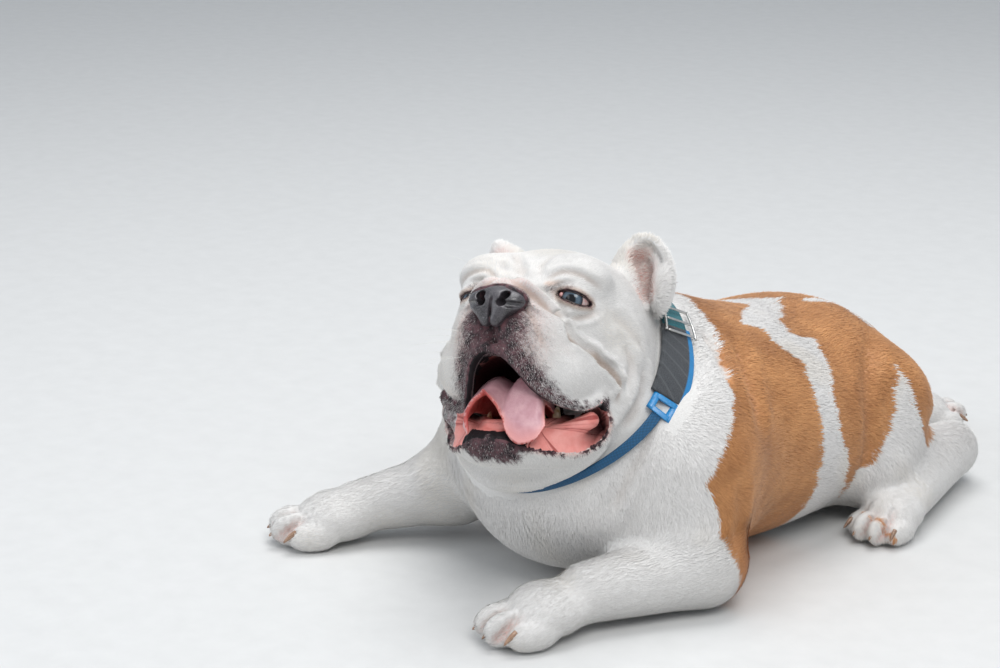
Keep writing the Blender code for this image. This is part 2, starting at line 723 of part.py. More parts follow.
def main():
    for old in list(bpy.data.objects):
        bpy.data.objects.remove(old, do_unlink=True)

    points, faces = surface_of(fine_field, (-0.14, -0.21, 0.05), (0.16, 0.11, 0.36), FINE_CELL)
    fine = mesh_object("fine_flesh", settle(fine_field, points, 1), faces)
    thinned(fine, FINE_FACES)
    points, faces = surface_of(flesh_field, (-0.30, -0.24, -0.060), (0.24, 0.64, 0.30), BODY_CELL)
    body = mesh_object("body_flesh", points, faces)
    thinned(body, BODY_FACES)
    floor = region("above_floor", [((0, 0, 0), (0, 0, -1))])
    boolean(body, floor, "INTERSECT")
    discard(floor)

    axis = tuple(COLLAR_AXIS)
    down = tuple(-COLLAR_AXIS)
    head_cut = [(tuple(COLLAR_AT + COLLAR_AXIS * NECK_HIGH), down)]
    jaw_cut = head_planes([((0, -0.050, -0.0955), (0, 0.20, 1.0)), ((0, 0.022, 0), (0, 1, 0))])
    ear_cuts = {}
    for side, name in ((1, "ear_left"), (-1, "ear_right")):
        ear_cuts[name] = head_planes([((0.060 * side, 0.040, 0.030), (-0.90 * side, -0.15, -0.40)),
                                      ((0, 0.014, 0), (0, -1, 0)), ((0, 0, 0.006), (0, 0, -1))])
    leg_cuts = {
        "foreleg_left": [((0.100, 0.0, 0.05), (-0.80, 0.45, 0.40)), ((0.030, 0, 0), (-1, 0, 0)),
                         ((0, 0.075, 0), (0, 1, 0)), ((0, 0, 0.105), (0.25, 0, 1))],
        "foreleg_right": [((-0.100, -0.02, 0.06), (0.80, 0.50, 0.33)), ((-0.050, 0, 0), (1, 0, 0)),
                          ((0, 0.060, 0), (0, 1, 0)), ((0, 0, 0.105), (-0.25, 0, 1))],
        "hindleg_left": [((0.085, 0.33, 0.07), (-0.85, -0.25, 0.45)), ((0.050, 0, 0), (-1, 0, 0)),
                         ((0, 0.200, 0), (0, -1, 0)), ((0, 0, 0.135), (0, 0, 1))],
        "hindleg_right": [((-0.085, 0.385, 0.05), (0.50, -0.80, 0.33)), ((0.048, 0, 0), (1, 0, 0)),
                          ((0, 0, 0.120), (0, 0, 1))],
        "tail": [((0, 0.412, 0.120), (-0.15, -0.85, 0.10)), ((0, 0, 0.090), (0, 0, -1)),
                 ((-0.040, 0, 0), (-1, 0, 0)), ((0.048, 0, 0), (1, 0, 0))],
    }

    eye_cutters = []
    eyes = []
    for side, name in ((1, "eye_left"), (-1, "eye_right")):
        at = from_head(EYE_AT * np.array([side, 1, 1]))
        eyes.append(sphere(name, at, EYE_RADIUS))
        eye_cutters.append(sphere(name + "_cutter", at, EYE_RADIUS + GAP))
    tongue = loft("tongue", tongue_rings())
    tongue_cutter = loft("tongue_cutter", tongue_rings(more=GAP))

    # head, jaw and ears come from the fine surface
    tooth_cutters = []
    jaw = part_of(fine, "jaw", head_cut + jaw_cut, [tongue_cutter])
    for tooth, (a, b, r) in enumerate((((0.034, -0.048, -0.104), (0.033, -0.048, -0.086), 0.0050),
                                       ((0.026, -0.060, -0.108), (0.026, -0.061, -0.095), 0.0036))):
        for side in (1, -1):
            turn = np.array([side, 1, 1])
            path = [from_head((np.array(a) * (1 - t) + np.array(b) * t) * turn)
                    for t in (0, 0.5, 0.85, 1)]
            peg = rod("tooth_%d_%d" % (tooth, side), path, [r, r * 0.9, r * 0.6, r * 0.25], 8)
            room = rod("tooth_room_%d_%d" % (tooth, side), path,
                       [r + GAP * 2, r * 0.9 + GAP * 2, r * 0.6 + GAP * 2, r * 0.25 + GAP * 2], 8)
            tooth_cutters.append(room)
            boolean(peg, tongue_cutter, "DIFFERENCE")
            boolean(jaw, peg, "UNION")
            discard(peg)
    largest(jaw)
    ears = [part_of(fine, name, head_cut + planes) for name, planes in ear_cuts.items()]
    minus = [region("jaw_out", grown(jaw_cut, GAP))] + tooth_cutters
    minus += [region(name + "_out", grown(planes, GAP)) for name, planes in ear_cuts.items()]
    head = part_of(fine, "head", head_cut, minus + eye_cutters + [tongue_cutter])
    for cutter in minus:
        discard(cutter)

    # the rest comes from the body surface
    legs = [part_of(body, name, planes) for name, planes in leg_cuts.items()]
    reach = collar_radii()
    neck = copy_of(body, "neck")
    slab = drum("neck_zone", NECK_LOW, NECK_HIGH - GAP, NECK_RADIUS)
    boolean(neck, slab, "INTERSECT")
    discard(slab)
    torso = copy_of(body, "torso")
    plug = drum("neck_out", NECK_LOW - GAP, NECK_HIGH + 0.3, NECK_RADIUS + GAP)
    boolean(torso, plug, "DIFFERENCE")
    discard(plug)
    above = region("head_out", grown(head_cut, GAP))
    boolean(torso, above, "DIFFERENCE")
    discard(above)
    for name, planes in leg_cuts.items():
        zone = region(name + "_out", grown(planes, GAP))
        boolean(torso, zone, "DIFFERENCE")
        discard(zone)
    largest(torso)

    # collar: strap over the nape, padded bands at the sides, cord below the throat
    half = COLLAR_WIDTH / 2
    rest = COLLAR_THICK
    pieces = [
        (band("collar_strap", -36, 40, -half + 0.002, half - 0.002, 0.0, rest, reach), "teal_webbing"),
        (band("collar_band_left", 40.4, 86, -half, half, 0.0, rest + 0.001, reach), "grey_webbing"),
        (band("collar_band_right", -86, -36.4, -half, half, 0.0, rest + 0.001, reach), "grey_webbing"),
        (band("collar_cord", 99, 261, -CORD_WIDTH / 2, CORD_WIDTH / 2, 0.0, rest, reach), "blue_plastic"),
    ]
    for name, start, end in (("collar_buckle_left", 86.4, 98.6), ("collar_buckle_right", 261.4, 273.6)):
        frame = band(name, start, end, -half + 0.001, half - 0.001, 0.0, rest + 0.001, reach)
        hole = band(name + "_hole", start + 3, end - 3, -half + 0.006, half - 0.006, -0.01, 0.02, reach)
        boolean(frame, hole, "DIFFERENCE")
        discard(hole)
        pieces.append((frame, "blue_plastic"))
    slide = band("collar_slide", 27, 47, -half - 0.002, half + 0.002, rest + 0.0028, rest + 0.0052, reach)
    for start, end in ((30, 35.5), (38.5, 44)):
        hole = band("slide_hole", start, end, -half + 0.002, half - 0.002, -0.01, 0.03, reach)
        boolean(slide, hole, "DIFFERENCE")
        discard(hole)
    pieces.append((slide, "metal"))
    rings = []
    for deg in range(0, 360, 5):
        a = math.radians(deg)
        out = COLLAR_SIDE * math.sin(a) + COLLAR_NAPE * math.cos(a)
        i = deg // 5
        ring = []
        over = (reach[1][i] - reach[0][i]) * 0.0025 / COLLAR_WIDTH
        for height, r in ((-half - 0.0025, reach[0][i] - over - GAP * 1.3), (-half - 0.0025, 0.20),
                          (half + 0.0025, 0.20), (half + 0.0025, reach[1][i] + over - GAP * 1.3)):
            ring.append(COLLAR_AT + COLLAR_AXIS * (height + 0.001) + out * r)
        rings.append(ring)
    ditch = loft("collar_ditch", rings, closed=True)
    boolean(neck, ditch, "DIFFERENCE")
    boolean(torso, ditch, "DIFFERENCE")
    discard(ditch)
    largest(neck)
    largest(torso)

    # claws, and the toes cut to take them
    claws = []
    owners = (("foreleg_left", LEFT_FORE_PAW, FORE_PAW_SIZE), ("foreleg_right", RIGHT_FORE_PAW, FORE_PAW_SIZE),
              ("hindleg_left", LEFT_HIND_PAW, HIND_PAW_SIZE), ("hindleg_right", RIGHT_HIND_PAW, HIND_PAW_SIZE))
    for owner, place, size in owners:
        leg = [thing for thing in legs if thing.name == owner][0]
        for toe in range(4):
            claws.append(claw("claw_%s_%d" % (owner.replace("leg", ""), toe + 1), place, size, toe))
            cutter = claw("claw_cutter", place, size, toe, GAP * 1.2)
            boolean(leg, cutter, "DIFFERENCE")
            discard(cutter)
        largest(leg)

    for cutter in eye_cutters + [tongue_cutter]:
        discard(cutter)
    discard(fine)
    discard(body)

    for thing in [head, jaw, neck] + ears:
        finish(thing, "white_coat")
    finish(torso, "tan_coat")
    for thing in legs:
        finish(thing, "tan_coat" if thing.name == "tail" else "white_coat")
    for thing in eyes:
        finish(thing, "eye")
    finish(tongue, "tongue")
    for thing, slot in pieces:
        finish(thing, slot, smooth=False)
    for thing in claws:
        finish(thing, "claw")


main()
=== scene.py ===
"""Looks of a resting English bulldog: skin, short coat, eyes, mouth, claws and collar.

Flesh is a distance field of named balls and limbs, the same one as the solids have, with the
coat's depth taken off and the folds of the skin added.  Shapes are worked out in the frame
the dog was laid out in (metres, head towards -Y, its left side +X) and real() brings them
to the final place and size.
"""

import math

import bmesh
import bpy
import numpy as np
from mathutils import Matrix, Vector
from mathutils.bvhtree import BVHTree


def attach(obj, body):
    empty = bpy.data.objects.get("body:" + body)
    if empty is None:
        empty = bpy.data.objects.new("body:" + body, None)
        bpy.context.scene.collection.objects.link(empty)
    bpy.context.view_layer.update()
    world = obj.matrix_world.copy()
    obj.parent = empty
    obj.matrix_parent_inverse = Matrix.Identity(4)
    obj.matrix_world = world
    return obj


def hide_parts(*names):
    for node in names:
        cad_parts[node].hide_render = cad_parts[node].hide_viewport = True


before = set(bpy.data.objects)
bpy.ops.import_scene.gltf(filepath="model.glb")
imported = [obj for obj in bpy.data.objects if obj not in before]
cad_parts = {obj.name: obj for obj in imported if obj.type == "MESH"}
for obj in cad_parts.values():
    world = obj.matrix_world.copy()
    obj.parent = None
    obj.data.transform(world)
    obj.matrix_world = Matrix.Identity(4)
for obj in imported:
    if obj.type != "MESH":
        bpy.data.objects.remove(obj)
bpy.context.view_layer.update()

bl_info = {
    "name": "Resting bulldog",
    "version": (1, 0, 0),
    "blender": (4, 5, 0),
    "location": "3D View > Sidebar > Bulldog",
    "description": "Builds the skin, coat, eyes, mouth, claws and collar of a resting bulldog",
    "category": "Add Mesh",
}

# real place and size of the dog
CENTRE_SHIFT = np.array([0.0304, -0.1955, 0.0])
SIZE = 0.93
# head and eyes
HEAD_AT = np.array([-0.006, -0.036, 0.250])
HEAD_YAW = 19.0
HEAD_PITCH = 24.0
HEAD_ROLL = -6.0
EYE_AT = np.array([0.0470, -0.0590, 0.0070])
EYE_RADIUS = 0.0140
EYE_SIDES = 48
# collar: its pieces run between angles in degrees round the neck, counted from the nape
COLLAR_AT = np.array([0.0, -0.010, 0.1815])
COLLAR_AXIS = np.array([-0.077, -0.617, 0.787])
COLLAR_WIDTH = 0.024
COLLAR_HALF = COLLAR_WIDTH / 2
COLLAR_THICK = 0.0030
CORD_WIDTH = 0.010
COLLAR_LIFT = 0.001
COLLAR_MEAN_REACH = 0.105
STRAP_SPAN = (-36, 40)
BAND_SPANS = {"collar_band_left": (40.4, 86), "collar_band_right": (-86, -36.4)}
BUCKLE_SPANS = {"collar_buckle_left": (86.4, 95.4), "collar_buckle_right": (264.6, 273.6)}
BUCKLE_RIM = 2.4
CORD_SPAN = (95, 265)
SLIDE_SPAN = (27.4, 46.6)
SLIDE_BARS = (28.2, 37.0, 45.8)
SLIDE_WIRE = 0.0013
WEAVE_PITCH = 0.0016
QUILT_PITCH = 0.0150
THREAD_PITCH = 0.0013
# paws: place, turn in degrees and size, then where the toes stand on a paw
CLAW_LENGTH = 0.008
CLAW_RADIUS = 0.0036
PAWS = {
    "fore_left": (0.094, -0.148, -22.0, 1.0),
    "fore_right": (-0.208, -0.130, -35.0, 1.0),
    "hind_left": (0.166, 0.270, 3.0, 0.86),
    "hind_right": (0.004, 0.548, 158.0, 0.86),
}
TOES = ((-0.0285, -0.026), (-0.0100, -0.038), (0.0100, -0.038), (0.0285, -0.026))
# cells of the surfaces and the rooms that they are looked for in
HEAD_CELL = 0.00175
BODY_CELL = 0.0050
NOSE_CELL = 0.0008
FLOOR_CLEAR = 0.0010
HEAD_ROOM = ((-0.135, -0.200, 0.055), (0.150, 0.105, 0.345))
BODY_ROOM = ((-0.290, -0.235, -0.020), (0.235, 0.630, 0.290))
NOSE_REACH = 0.034
FIELD_BLOCK = 8
FIELD_BATCH = 200000
NECK_LOWEST = 0.075
NECK_REACH = 0.16
CUT_GAP = 0.004
# depth of the coat
BODY_COAT = 0.0019
FACE_COAT = 0.0008
# stage and camera
FLOOR_HALF = 12.0
CAMERA_TURN = 45.0
CAMERA_RISE = 17.0
CAMERA_LENS = 85.0
FILM_WIDTH = 36.0
CAMERA_SEES = (0.15, 0.0, 0.0)
CAMERA_SEES_AT = (700.0, 607.0)
CAMERA_DEPTH = 2.15
PHOTO_SIZE = (1000.0, 668.0)
# millimetres in a metre, then limits for welding, tips and tufts
MM = 1000.0
WELD = 0.00002
TIP = 0.00001
LOWEST_HAIR = 0.0002
COAT_NECK_LOWEST = 0.07
THIN_SHARE = 0.05
UNWRAP_ANGLE = 66
UNWRAP_GAP = 0.004
COAT_SEED = 100
WHISKER_SEED = 7
PATCH_HALF = 0.0015


def turn_x(deg):
    """matrix of a turn about x: the cosine and sine of its angle; turn_y and turn_z are alike"""
    c, s = math.cos(math.radians(deg)), math.sin(math.radians(deg))
    return np.array([[1.0, 0, 0], [0, c, -s], [0, s, c]])


def turn_y(deg):
    c, s = math.cos(math.radians(deg)), math.sin(math.radians(deg))
    return np.array([[c, 0, s], [0, 1.0, 0], [-s, 0, c]])


def turn_z(deg):
    c, s = math.cos(math.radians(deg)), math.sin(math.radians(deg))
    return np.array([[c, -s, 0], [s, c, 0], [0, 0, 1.0]])


def unit(v, least=0.0):
    """vectors divided by their length; least keeps a zero one from dividing by zero"""
    return v / (np.linalg.norm(v, axis=-1, keepdims=True) + least)


HEAD_TURN = turn_z(HEAD_YAW) @ turn_x(-HEAD_PITCH) @ turn_y(HEAD_ROLL)
COLLAR_AXIS = unit(COLLAR_AXIS)
COLLAR_SIDE = unit(np.array([1.0, 0, 0]) - COLLAR_AXIS * COLLAR_AXIS[0])
COLLAR_NAPE = np.cross(COLLAR_AXIS, COLLAR_SIDE)


def real(p):
    """places in the final frame"""
    return (np.asarray(p, float) + CENTRE_SHIFT) * SIZE


def laid_out(p):
    """the way back from real()"""
    return np.asarray(p, float) / SIZE - CENTRE_SHIFT


def to_head(p):
    """points seen from the head: x to its left, y backwards, z up"""
    return (p - HEAD_AT) @ HEAD_TURN


def from_head(q):
    """the way back from to_head(), for places or grids of them"""
    return np.asarray(q, float) @ HEAD_TURN.T + HEAD_AT


def mirrored(h):
    """places of the right half brought over to the left"""
    m = h.copy()
    m[:, 0] = np.abs(m[:, 0])
    return m


def ball(p, centre, radii):
    """about the distance to an ellipsoid"""
    q = p - np.asarray(centre)
    r = np.asarray(radii, float)
    k0 = np.linalg.norm(q / r, axis=1)
    k1 = np.linalg.norm(q / (r * r), axis=1) + 1e-9
    return k0 * (k0 - 1.0) / k1


def limb(p, a, b, ra, rb):
    """distance to a rod from a to b whose radius goes from ra to rb"""
    a = np.asarray(a, float)
    ab = np.asarray(b, float) - a
    t = np.clip((p - a) @ ab / (ab @ ab), 0, 1)
    return np.linalg.norm(p - a - t[:, None] * ab, axis=1) - (ra + t * (rb - ra))


def join(d1, d2, soft):
    """smooth union of two fields"""
    h = np.clip(0.5 + 0.5 * (d2 - d1) / soft, 0, 1)
    return d2 * (1 - h) + d1 * h - soft * h * (1 - h)


def grown(d, *parts):
    """a field joined in turn with others, each given with the softness of its joint"""
    for part, soft in parts:
        d = join(d, part, soft)
    return d


def carve(d1, d2, soft):
    """first field with the second taken away"""
    return -join(-d1, d2, soft)


def step(value, low, high):
    """0 below low, 1 above high, smooth between; low may be the larger"""
    t = np.clip((value - low) / (high - low), 0, 1)
    return t * t * (3 - 2 * t)


def path_place(p, pts, reach=0.03):
    """distance to a chain of straight pieces and the share of it passed; plain bound past reach"""
    low, high = pts.min(0) - reach, pts.max(0) + reach
    best = np.linalg.norm(p - np.clip(p, low, high), axis=1) + reach
    share = np.zeros(len(p))
    near = np.flatnonzero(best <= reach)
    if not len(near):
        return best, share
    q = p[near]
    least = np.full(len(near), 1e9)
    place = np.zeros(len(near))
    pieces = len(pts) - 1
    for i in range(pieces):
        ab = pts[i + 1] - pts[i]
        t = np.clip((q - pts[i]) @ ab / (ab @ ab), 0, 1)
        d = np.linalg.norm(q - pts[i] - t[:, None] * ab, axis=1)
        closer = d < least
        least[closer] = d[closer]
        place[closer] = (i + t[closer]) / pieces
    best[near] = least
    share[near] = place
    return best, share


def path_distance(p, pts, reach=0.03):
    return path_place(p, pts, reach)[0]


def curve(pts, steps=4):
    """smooth chain through a few named places"""
    pts = np.asarray(pts, float)
    e = np.vstack([2 * pts[0] - pts[1], pts, 2 * pts[-1] - pts[-2]])
    out = []
    for i in range(1, len(e) - 2):
        a, b, c, d = e[i - 1], e[i], e[i + 1], e[i + 2]
        for t in np.arange(steps) / steps:
            out.append(0.5 * (2 * b + (c - a) * t + (2 * a - 5 * b + 4 * c - d) * t * t
                              + (3 * b - a - 3 * c + d) * t ** 3))
    out.append(pts[-1])
    return np.array(out)


def chain(*pts):
    """smooth chain through places given in millimetres"""
    return curve(np.array(pts, float) / MM)


def groove(depth, width, *pts):
    """path, depth and half width of a fold, all given in millimetres"""
    return chain(*pts), depth / MM, width / MM


PULL = np.array([-0.006, -0.012, 0.0])
NOSE_AT = np.array([0.0, -0.108, -0.004])
NOSE_ROLL = chain((0, -101.5, 11), (14.5, -98.5, 9), (27.5, -90.5, 0.5), (35, -88.5, -11), (41, -88.5, -25),
                  (47.5, -85.5, -39), (56, -76, -52))
LIP_RIM = chain((76, -46, -82), (79, -34, -97), (75, -35, -111), (63, -50, -126), (49, -68, -130),
                (34, -81, -130), (18, -88, -127), (0, -90, -123.5))
GUM_RIDGE = chain((38, -10, -94), (34, -46, -101), (22, -66, -107), (10, -74, -109), (0, -75, -109))
JAW_LINE = chain((56, 10, -96), (52, -28, -111), (40, -55, -122), (20, -71, -127), (0, -74, -128))
UPPER_RIM = chain((0, -104, -44), (14, -101, -50), (27, -96, -62), (38, -90, -76), (50, -80, -86),
                  (64, -66, -88), (75, -54, -80))
RIGHT_RIM = chain((0, -104, -44), (-11, -101, -48), (-21.5, -95, -57), (-26.5, -89, -73), (-31.5, -83, -89),
                  (-44, -70, -95), (-60, -56, -92), (-73, -48, -84))
FACING = np.array([(0.86, 0.0), (0.51, 0.0), (0.0, 1.0)])
UPPER_LIPS = ((True, UPPER_RIM), (False, RIGHT_RIM * np.array([-1, 1, 1])))
CHEEK_FOLD = chain((67, -52, -40), (76, -40, -54), (80, -32, -72), (77, -28, -92))
PHILTRUM = np.array(((0, -121.5, -10), (0, -119.5, -16), (0, -112, -24), (0, -107.5, -42))) / MM
EAR_FAR_RIM = chain((66, 34, 80), (82, 31, 78), (95, 32, 62), (100, 35, 42), (96, 38, 22), (88, 40, 12))
EAR_NEAR_RIM = chain((58, 30, 66), (64, 27, 50), (72, 27, 32), (80, 31, 16))

# grooves of the loose skin on both sides of the face: depth, half width and path
FACE_GROOVES = (
    groove(7.5, 4.2, (36, -77, 2), (43, -80, -7), (51, -82, -17), (60, -76, -30), (69, -62, -40),
           (79, -52, -50), (86, -40, -54)),
    groove(6.8, 3.4, (4, -101, 18), (14, -105, 12.5), (24, -102, 6), (34, -96, -1), (40, -92, -6),
           (45, -88, -12), (50, -85, -20), (56, -83, -36)),
    groove(3.4, 3.8, (0, -90, 20.5), (14, -88, 18.5), (25, -81, 12), (33, -79, 4)),
    groove(3, 2.6, (26, -104, -1), (32, -102, -13), (37, -101, -27), (43, -98, -42)),
    groove(6.2, 3.6, (73, -60, -46), (80, -50, -51), (86, -41, -59), (89, -35, -68), (86, -38, -79)),
    groove(4.6, 5.6, (86, -27, -25), (92, -23, -44), (90, -26, -63), (85, -35, -85)),
    groove(4, 7, (95, -13, -38), (97, -7, -60), (93, -9, -83), (83, -12, -103)),
    groove(2.8, 3, (24, -74, 24), (36, -71, 31), (54, -67, 28), (69, -53, 18)),
    groove(2.6, 3, (40, -78, -6), (50, -74, -10), (61, -66, -8), (70, -54, -1)),
    groove(2.6, 6, (80, -40, 0), (90, -22, -10), (96, -4, -30)),
)
# frown over the nose, each on its own side
BROW_GROOVES = (
    groove(3.4, 4.2, (-22, -44, 54), (-9, -61, 38), (2, -74, 24)),
    groove(2, 4, (16, -46, 52), (13, -62, 38), (16, -74, 26)),
    groove(1.8, 4, (-48, -62, 40), (-27, -68, 34), (-6, -68, 33), (16, -62, 42)),
    groove(3.4, 3.4, (-62, -64, 6), (-47, -74, 17), (-30, -76, 24)),
)
# folds of neck, shoulder, elbow and thigh in the dog's frame
BODY_GROOVES = (
    groove(4.5, 8, (86, 117, 215), (122, 93, 189), (155, 72, 154)),
    groove(3, 7, (66, 86, 228), (96, 78, 208), (131, 50, 184)),
    groove(3.2, 7, (177, 14, 127), (180, 16, 99), (186, 13, 67)),
    groove(3.2, 6.5, (112, -28, 178), (114, -45, 154), (109, -59, 128), (100, -68, 100)),
    groove(3.5, 8.5, (81, 335, 177), (126, 273, 149), (147, 250, 108), (147, 249, 67)),
    groove(3.2, 6.5, (-110, -28, 170), (-110, -58, 140), (-98, -70, 108)),
    groove(4, 8, (-86, 110, 215), (-122, 95, 189), (-150, 78, 150)),
    groove(3.5, 8.5, (-90, 350, 172), (-128, 300, 140), (-140, 290, 90)),
    groove(2.6, 7, (-60, -110, 118), (-10, -116, 106), (50, -108, 104)),
)


def eye_way(side, high):
    """direction out of the eye, in degrees to the side and up from straight ahead"""
    a, b = math.radians(side), math.radians(high)
    f = unit(np.array([0.36, -0.93, 0.02]))
    u = unit(np.array([-f[1], f[0], 0.0]))
    v = np.cross(f, u) * -1.0
    v = v * np.sign(v[2])
    return f * math.cos(a) * math.cos(b) + u * math.sin(a) * math.cos(b) + v * math.sin(b)


LID_UP = np.array([EYE_AT + (EYE_RADIUS + 0.0020) * eye_way(s, h) for s, h in
                   ((-76, 22), (-45, 30), (-15, 27), (15, 18), (45, 5), (76, -10))])
LID_LOW = np.array([EYE_AT + (EYE_RADIUS + 0.0018) * eye_way(s, h) for s, h in
                    ((-76, 10), (-45, -8), (-15, -22), (15, -30), (45, -30), (76, -18))])
EYE_SLOT = np.array([EYE_AT + EYE_RADIUS * eye_way(s, h) for s, h in
                     ((-66, 14), (-30, 8), (0, -1), (30, -9), (62, -14))])
LID_EDGE_UP = ((-70, 17), (-45, 24), (-15, 20), (15, 12), (45, 0), (70, -12))
LID_EDGE_LOW = ((-70, 15), (-45, -2), (-15, -15), (15, -23), (45, -24), (70, -15))
SQUINT = 0.40
LID_EDGE_RADIUS = 0.00045
EYE_CORNER_RADIUS = 0.0026
EYE_CORNER = ((-72, 14), (-62, 13), (-54, 12))
IRIS_ANGLE = 0.80


def eye_slot(h, m):
    """distance from the opening between the lids, widest before its middle and narrow on the right"""
    d, share = path_place(m, EYE_SLOT)
    wide = 0.0022 + 0.0026 * np.sin(math.pi * np.clip(share * 0.98 + 0.02, 0, 1))
    return d - wide * np.where(h[:, 0] > 0, 1.0, SQUINT)


def pulled(h):
    """head places with the middle of muzzle and chin drawn forward: PULL times a bell round them"""
    bell = np.exp(-(h[:, 0] / 0.042) ** 4 - ((h[:, 2] + 0.075) / 0.083) ** 4)
    return h - (bell * step(h[:, 1], -0.055, -0.100))[:, None] * PULL


def mouth_hollow(h, m):
    """open space of the mouth"""
    hollow = ball(h, (0, -0.062, -0.078), (0.031, 0.078, 0.028))
    hollow = join(hollow, ball(h, (0, -0.058, -0.098), (0.037, 0.062, 0.017)), 0.006)
    side = limb(m, (0.036, -0.095, -0.104), (0.072, -0.066, -0.092), 0.0155, 0.0048)
    return join(hollow, side, 0.006)


def inside_outline(q, loop):
    """whether places in the plane lie in a closed outline, by counting the edges crossed"""
    inside = np.zeros(len(q), bool)
    for a, b in zip(loop, np.roll(loop, -1, 0)):
        rise = b[1] - a[1] if abs(b[1] - a[1]) > 1e-9 else 1e-9
        crosses = (a[1] > q[:, 1]) != (b[1] > q[:, 1])
        inside ^= crosses & (q[:, 0] < a[0] + (q[:, 1] - a[1]) * (b[0] - a[0]) / rise)
    return inside


def lips(h, m):
    """distance from the edge of the lips seen from the front of each side, negative in the mouth,
    and 1 where the lower lip is the nearer one; the upper lip's edge is turned in a little"""
    edge = np.full(len(h), 0.03)
    lower = np.zeros(len(h))
    hollow = np.minimum(mouth_hollow(h, m), flap_field(m))
    for left, upper in UPPER_LIPS:
        near = np.flatnonzero((hollow < 0.014) & ((h[:, 0] > 0) == left))
        if not len(near):
            continue
        q = m[near] @ FACING
        up = path_distance(q, upper @ FACING, 0.05)
        down = path_distance(q, LIP_RIM @ FACING, 0.05)
        sign = np.where(inside_outline(q, np.vstack([upper, LIP_RIM]) @ FACING), -1.0, 1.0)
        lower[near] = step(up - down, -0.003, 0.003)
        edge[near] = sign * np.minimum(up, down) + 0.0030 * (1 - lower[near])
    return np.maximum(edge, hollow - 0.012), lower


def nose_form(h):
    """leather of the nose: a flat oval with swollen wings that narrows downwards"""
    q = h - NOSE_AT
    d = ball(q, (0, 0, 0.0015), (0.0225, 0.0120, 0.0125))
    d = join(d, ball(mirrored(q), (0.0155, 0.0005, 0.0005), (0.0115, 0.0110, 0.0092)), 0.004)
    wing = limb(mirrored(q), (0.0105, -0.0020, -0.0050), (0.0035, 0.0, -0.0155), 0.0080, 0.0075)
    return join(d, wing, 0.007)


def nostrils(d, h):
    """two tall openings that run out in a slit towards the wing, and the groove between and below"""
    m = mirrored(h - NOSE_AT)
    d = carve(d, limb(m, (0.0115, -0.0160, 0.0050), (0.0120, 0.0020, 0.0030), 0.0048, 0.0036), 0.0010)
    d = carve(d, limb(m, (0.0092, -0.0150, -0.0020), (0.0105, 0.0020, -0.0015), 0.0046, 0.0030), 0.0010)
    d = carve(d, limb(m, (0.0120, -0.0140, -0.0045), (0.0265, -0.0030, -0.0040), 0.0034, 0.0030), 0.0010)
    wide = 0.0011 + 0.0014 * step(h[:, 2], -0.022, -0.030)
    line = np.exp(-(h[:, 0] / wide) ** 2) * step(h[:, 1], -0.094, -0.100)
    return d + 0.0026 * line * step(h[:, 2], 0.0015, -0.004) * step(h[:, 2], -0.050, -0.044)


def groove_sum(q, grooves):
    """depth of skin grooves: a bell curve off each path with a low swelling beside it"""
    total = np.zeros(len(q))
    for path, depth, width in grooves:
        d, share = path_place(q, path, width * 4)
        near = d < width * 4
        x = d[near] / width
        fade = np.clip(np.minimum(share[near], 1 - share[near]) * 5 + 0.15, 0, 1)
        total[near] += depth * fade * (np.exp(-x * x) - 0.42 * np.exp(-(x - 2.1) ** 2))
    return total


def head_form(h):
    """skull, cheeks, lips and jaw with the mouth's hollow, before nose, folds and eyes"""
    m = mirrored(h)
    d = grown(
        ball(h, (0, 0.010, 0.008), (0.079, 0.080, 0.056)),
        (ball(m, (0.041, -0.042, 0.028), (0.032, 0.027, 0.023)), 0.016),
        (ball(m, (0.062, 0.008, -0.052), (0.037, 0.054, 0.062)), 0.030),
        (ball(h, (0, -0.042, -0.018), (0.070, 0.040, 0.046)), 0.025),
        (ball(h, (0, -0.086, -0.014), (0.032, 0.020, 0.024)), 0.016),
        # flews at the sides of the mouth
        (limb(m, (0.024, -0.083, -0.030), (0.046, -0.066, -0.060), 0.025, 0.026), 0.010),
        (limb(m, (0.046, -0.066, -0.060), (0.062, -0.042, -0.066), 0.025, 0.020), 0.010),
        # lower jaw and throat
        (path_distance(m, JAW_LINE) - 0.018, 0.012),
        (ball(h, (0, -0.015, -0.120), (0.050, 0.058, 0.026)), 0.020))
    d = carve(d, mouth_hollow(h, m), 0.005)
    rim = np.where(h[:, 0] > 0, path_distance(h, UPPER_RIM) - 0.0045, path_distance(h, RIGHT_RIM) - 0.0056)
    return grown(
        d,
        # gums, the lower lip's corner and both rims
        (path_distance(m, GUM_RIDGE) - 0.0060, 0.006),
        (limb(m, (0.046, -0.062, -0.113), (0.068, -0.051, -0.098), 0.0095, 0.0080), 0.007),
        (path_distance(m, LIP_RIM) - 0.0046 - 0.0007 * np.sin(m[:, 0] * 900), 0.006),
        (rim, 0.009),
        # folds over the nose and behind the mouth
        (path_distance(m, NOSE_ROLL) - 0.0080, 0.0025),
        (path_distance(m, CHEEK_FOLD) - 0.0080, 0.008))


def head_field(p):
    """the head's form joined with nose, folds, eyeballs and lids, less the slot between the lids"""
    h = pulled(to_head(p))
    m = mirrored(h)
    d = join(head_form(h), nose_form(h), 0.002)
    d = nostrils(d, h)
    d = d + groove_sum(m, FACE_GROOVES) + groove_sum(h, BROW_GROOVES)
    # eye hollow, lids and the slot between them
    d = carve(d, ball(m, EYE_AT + eye_way(0, 6) * 0.018, (0.021, 0.012, 0.009)), 0.010)
    d = join(d, np.linalg.norm(m - EYE_AT, axis=1) - (EYE_RADIUS + 0.0030), 0.004)
    lids = np.minimum(path_distance(m, LID_UP), path_distance(m, LID_LOW))
    d = join(d, lids - 0.0020, 0.002)
    return carve(d, eye_slot(h, m), 0.0012)


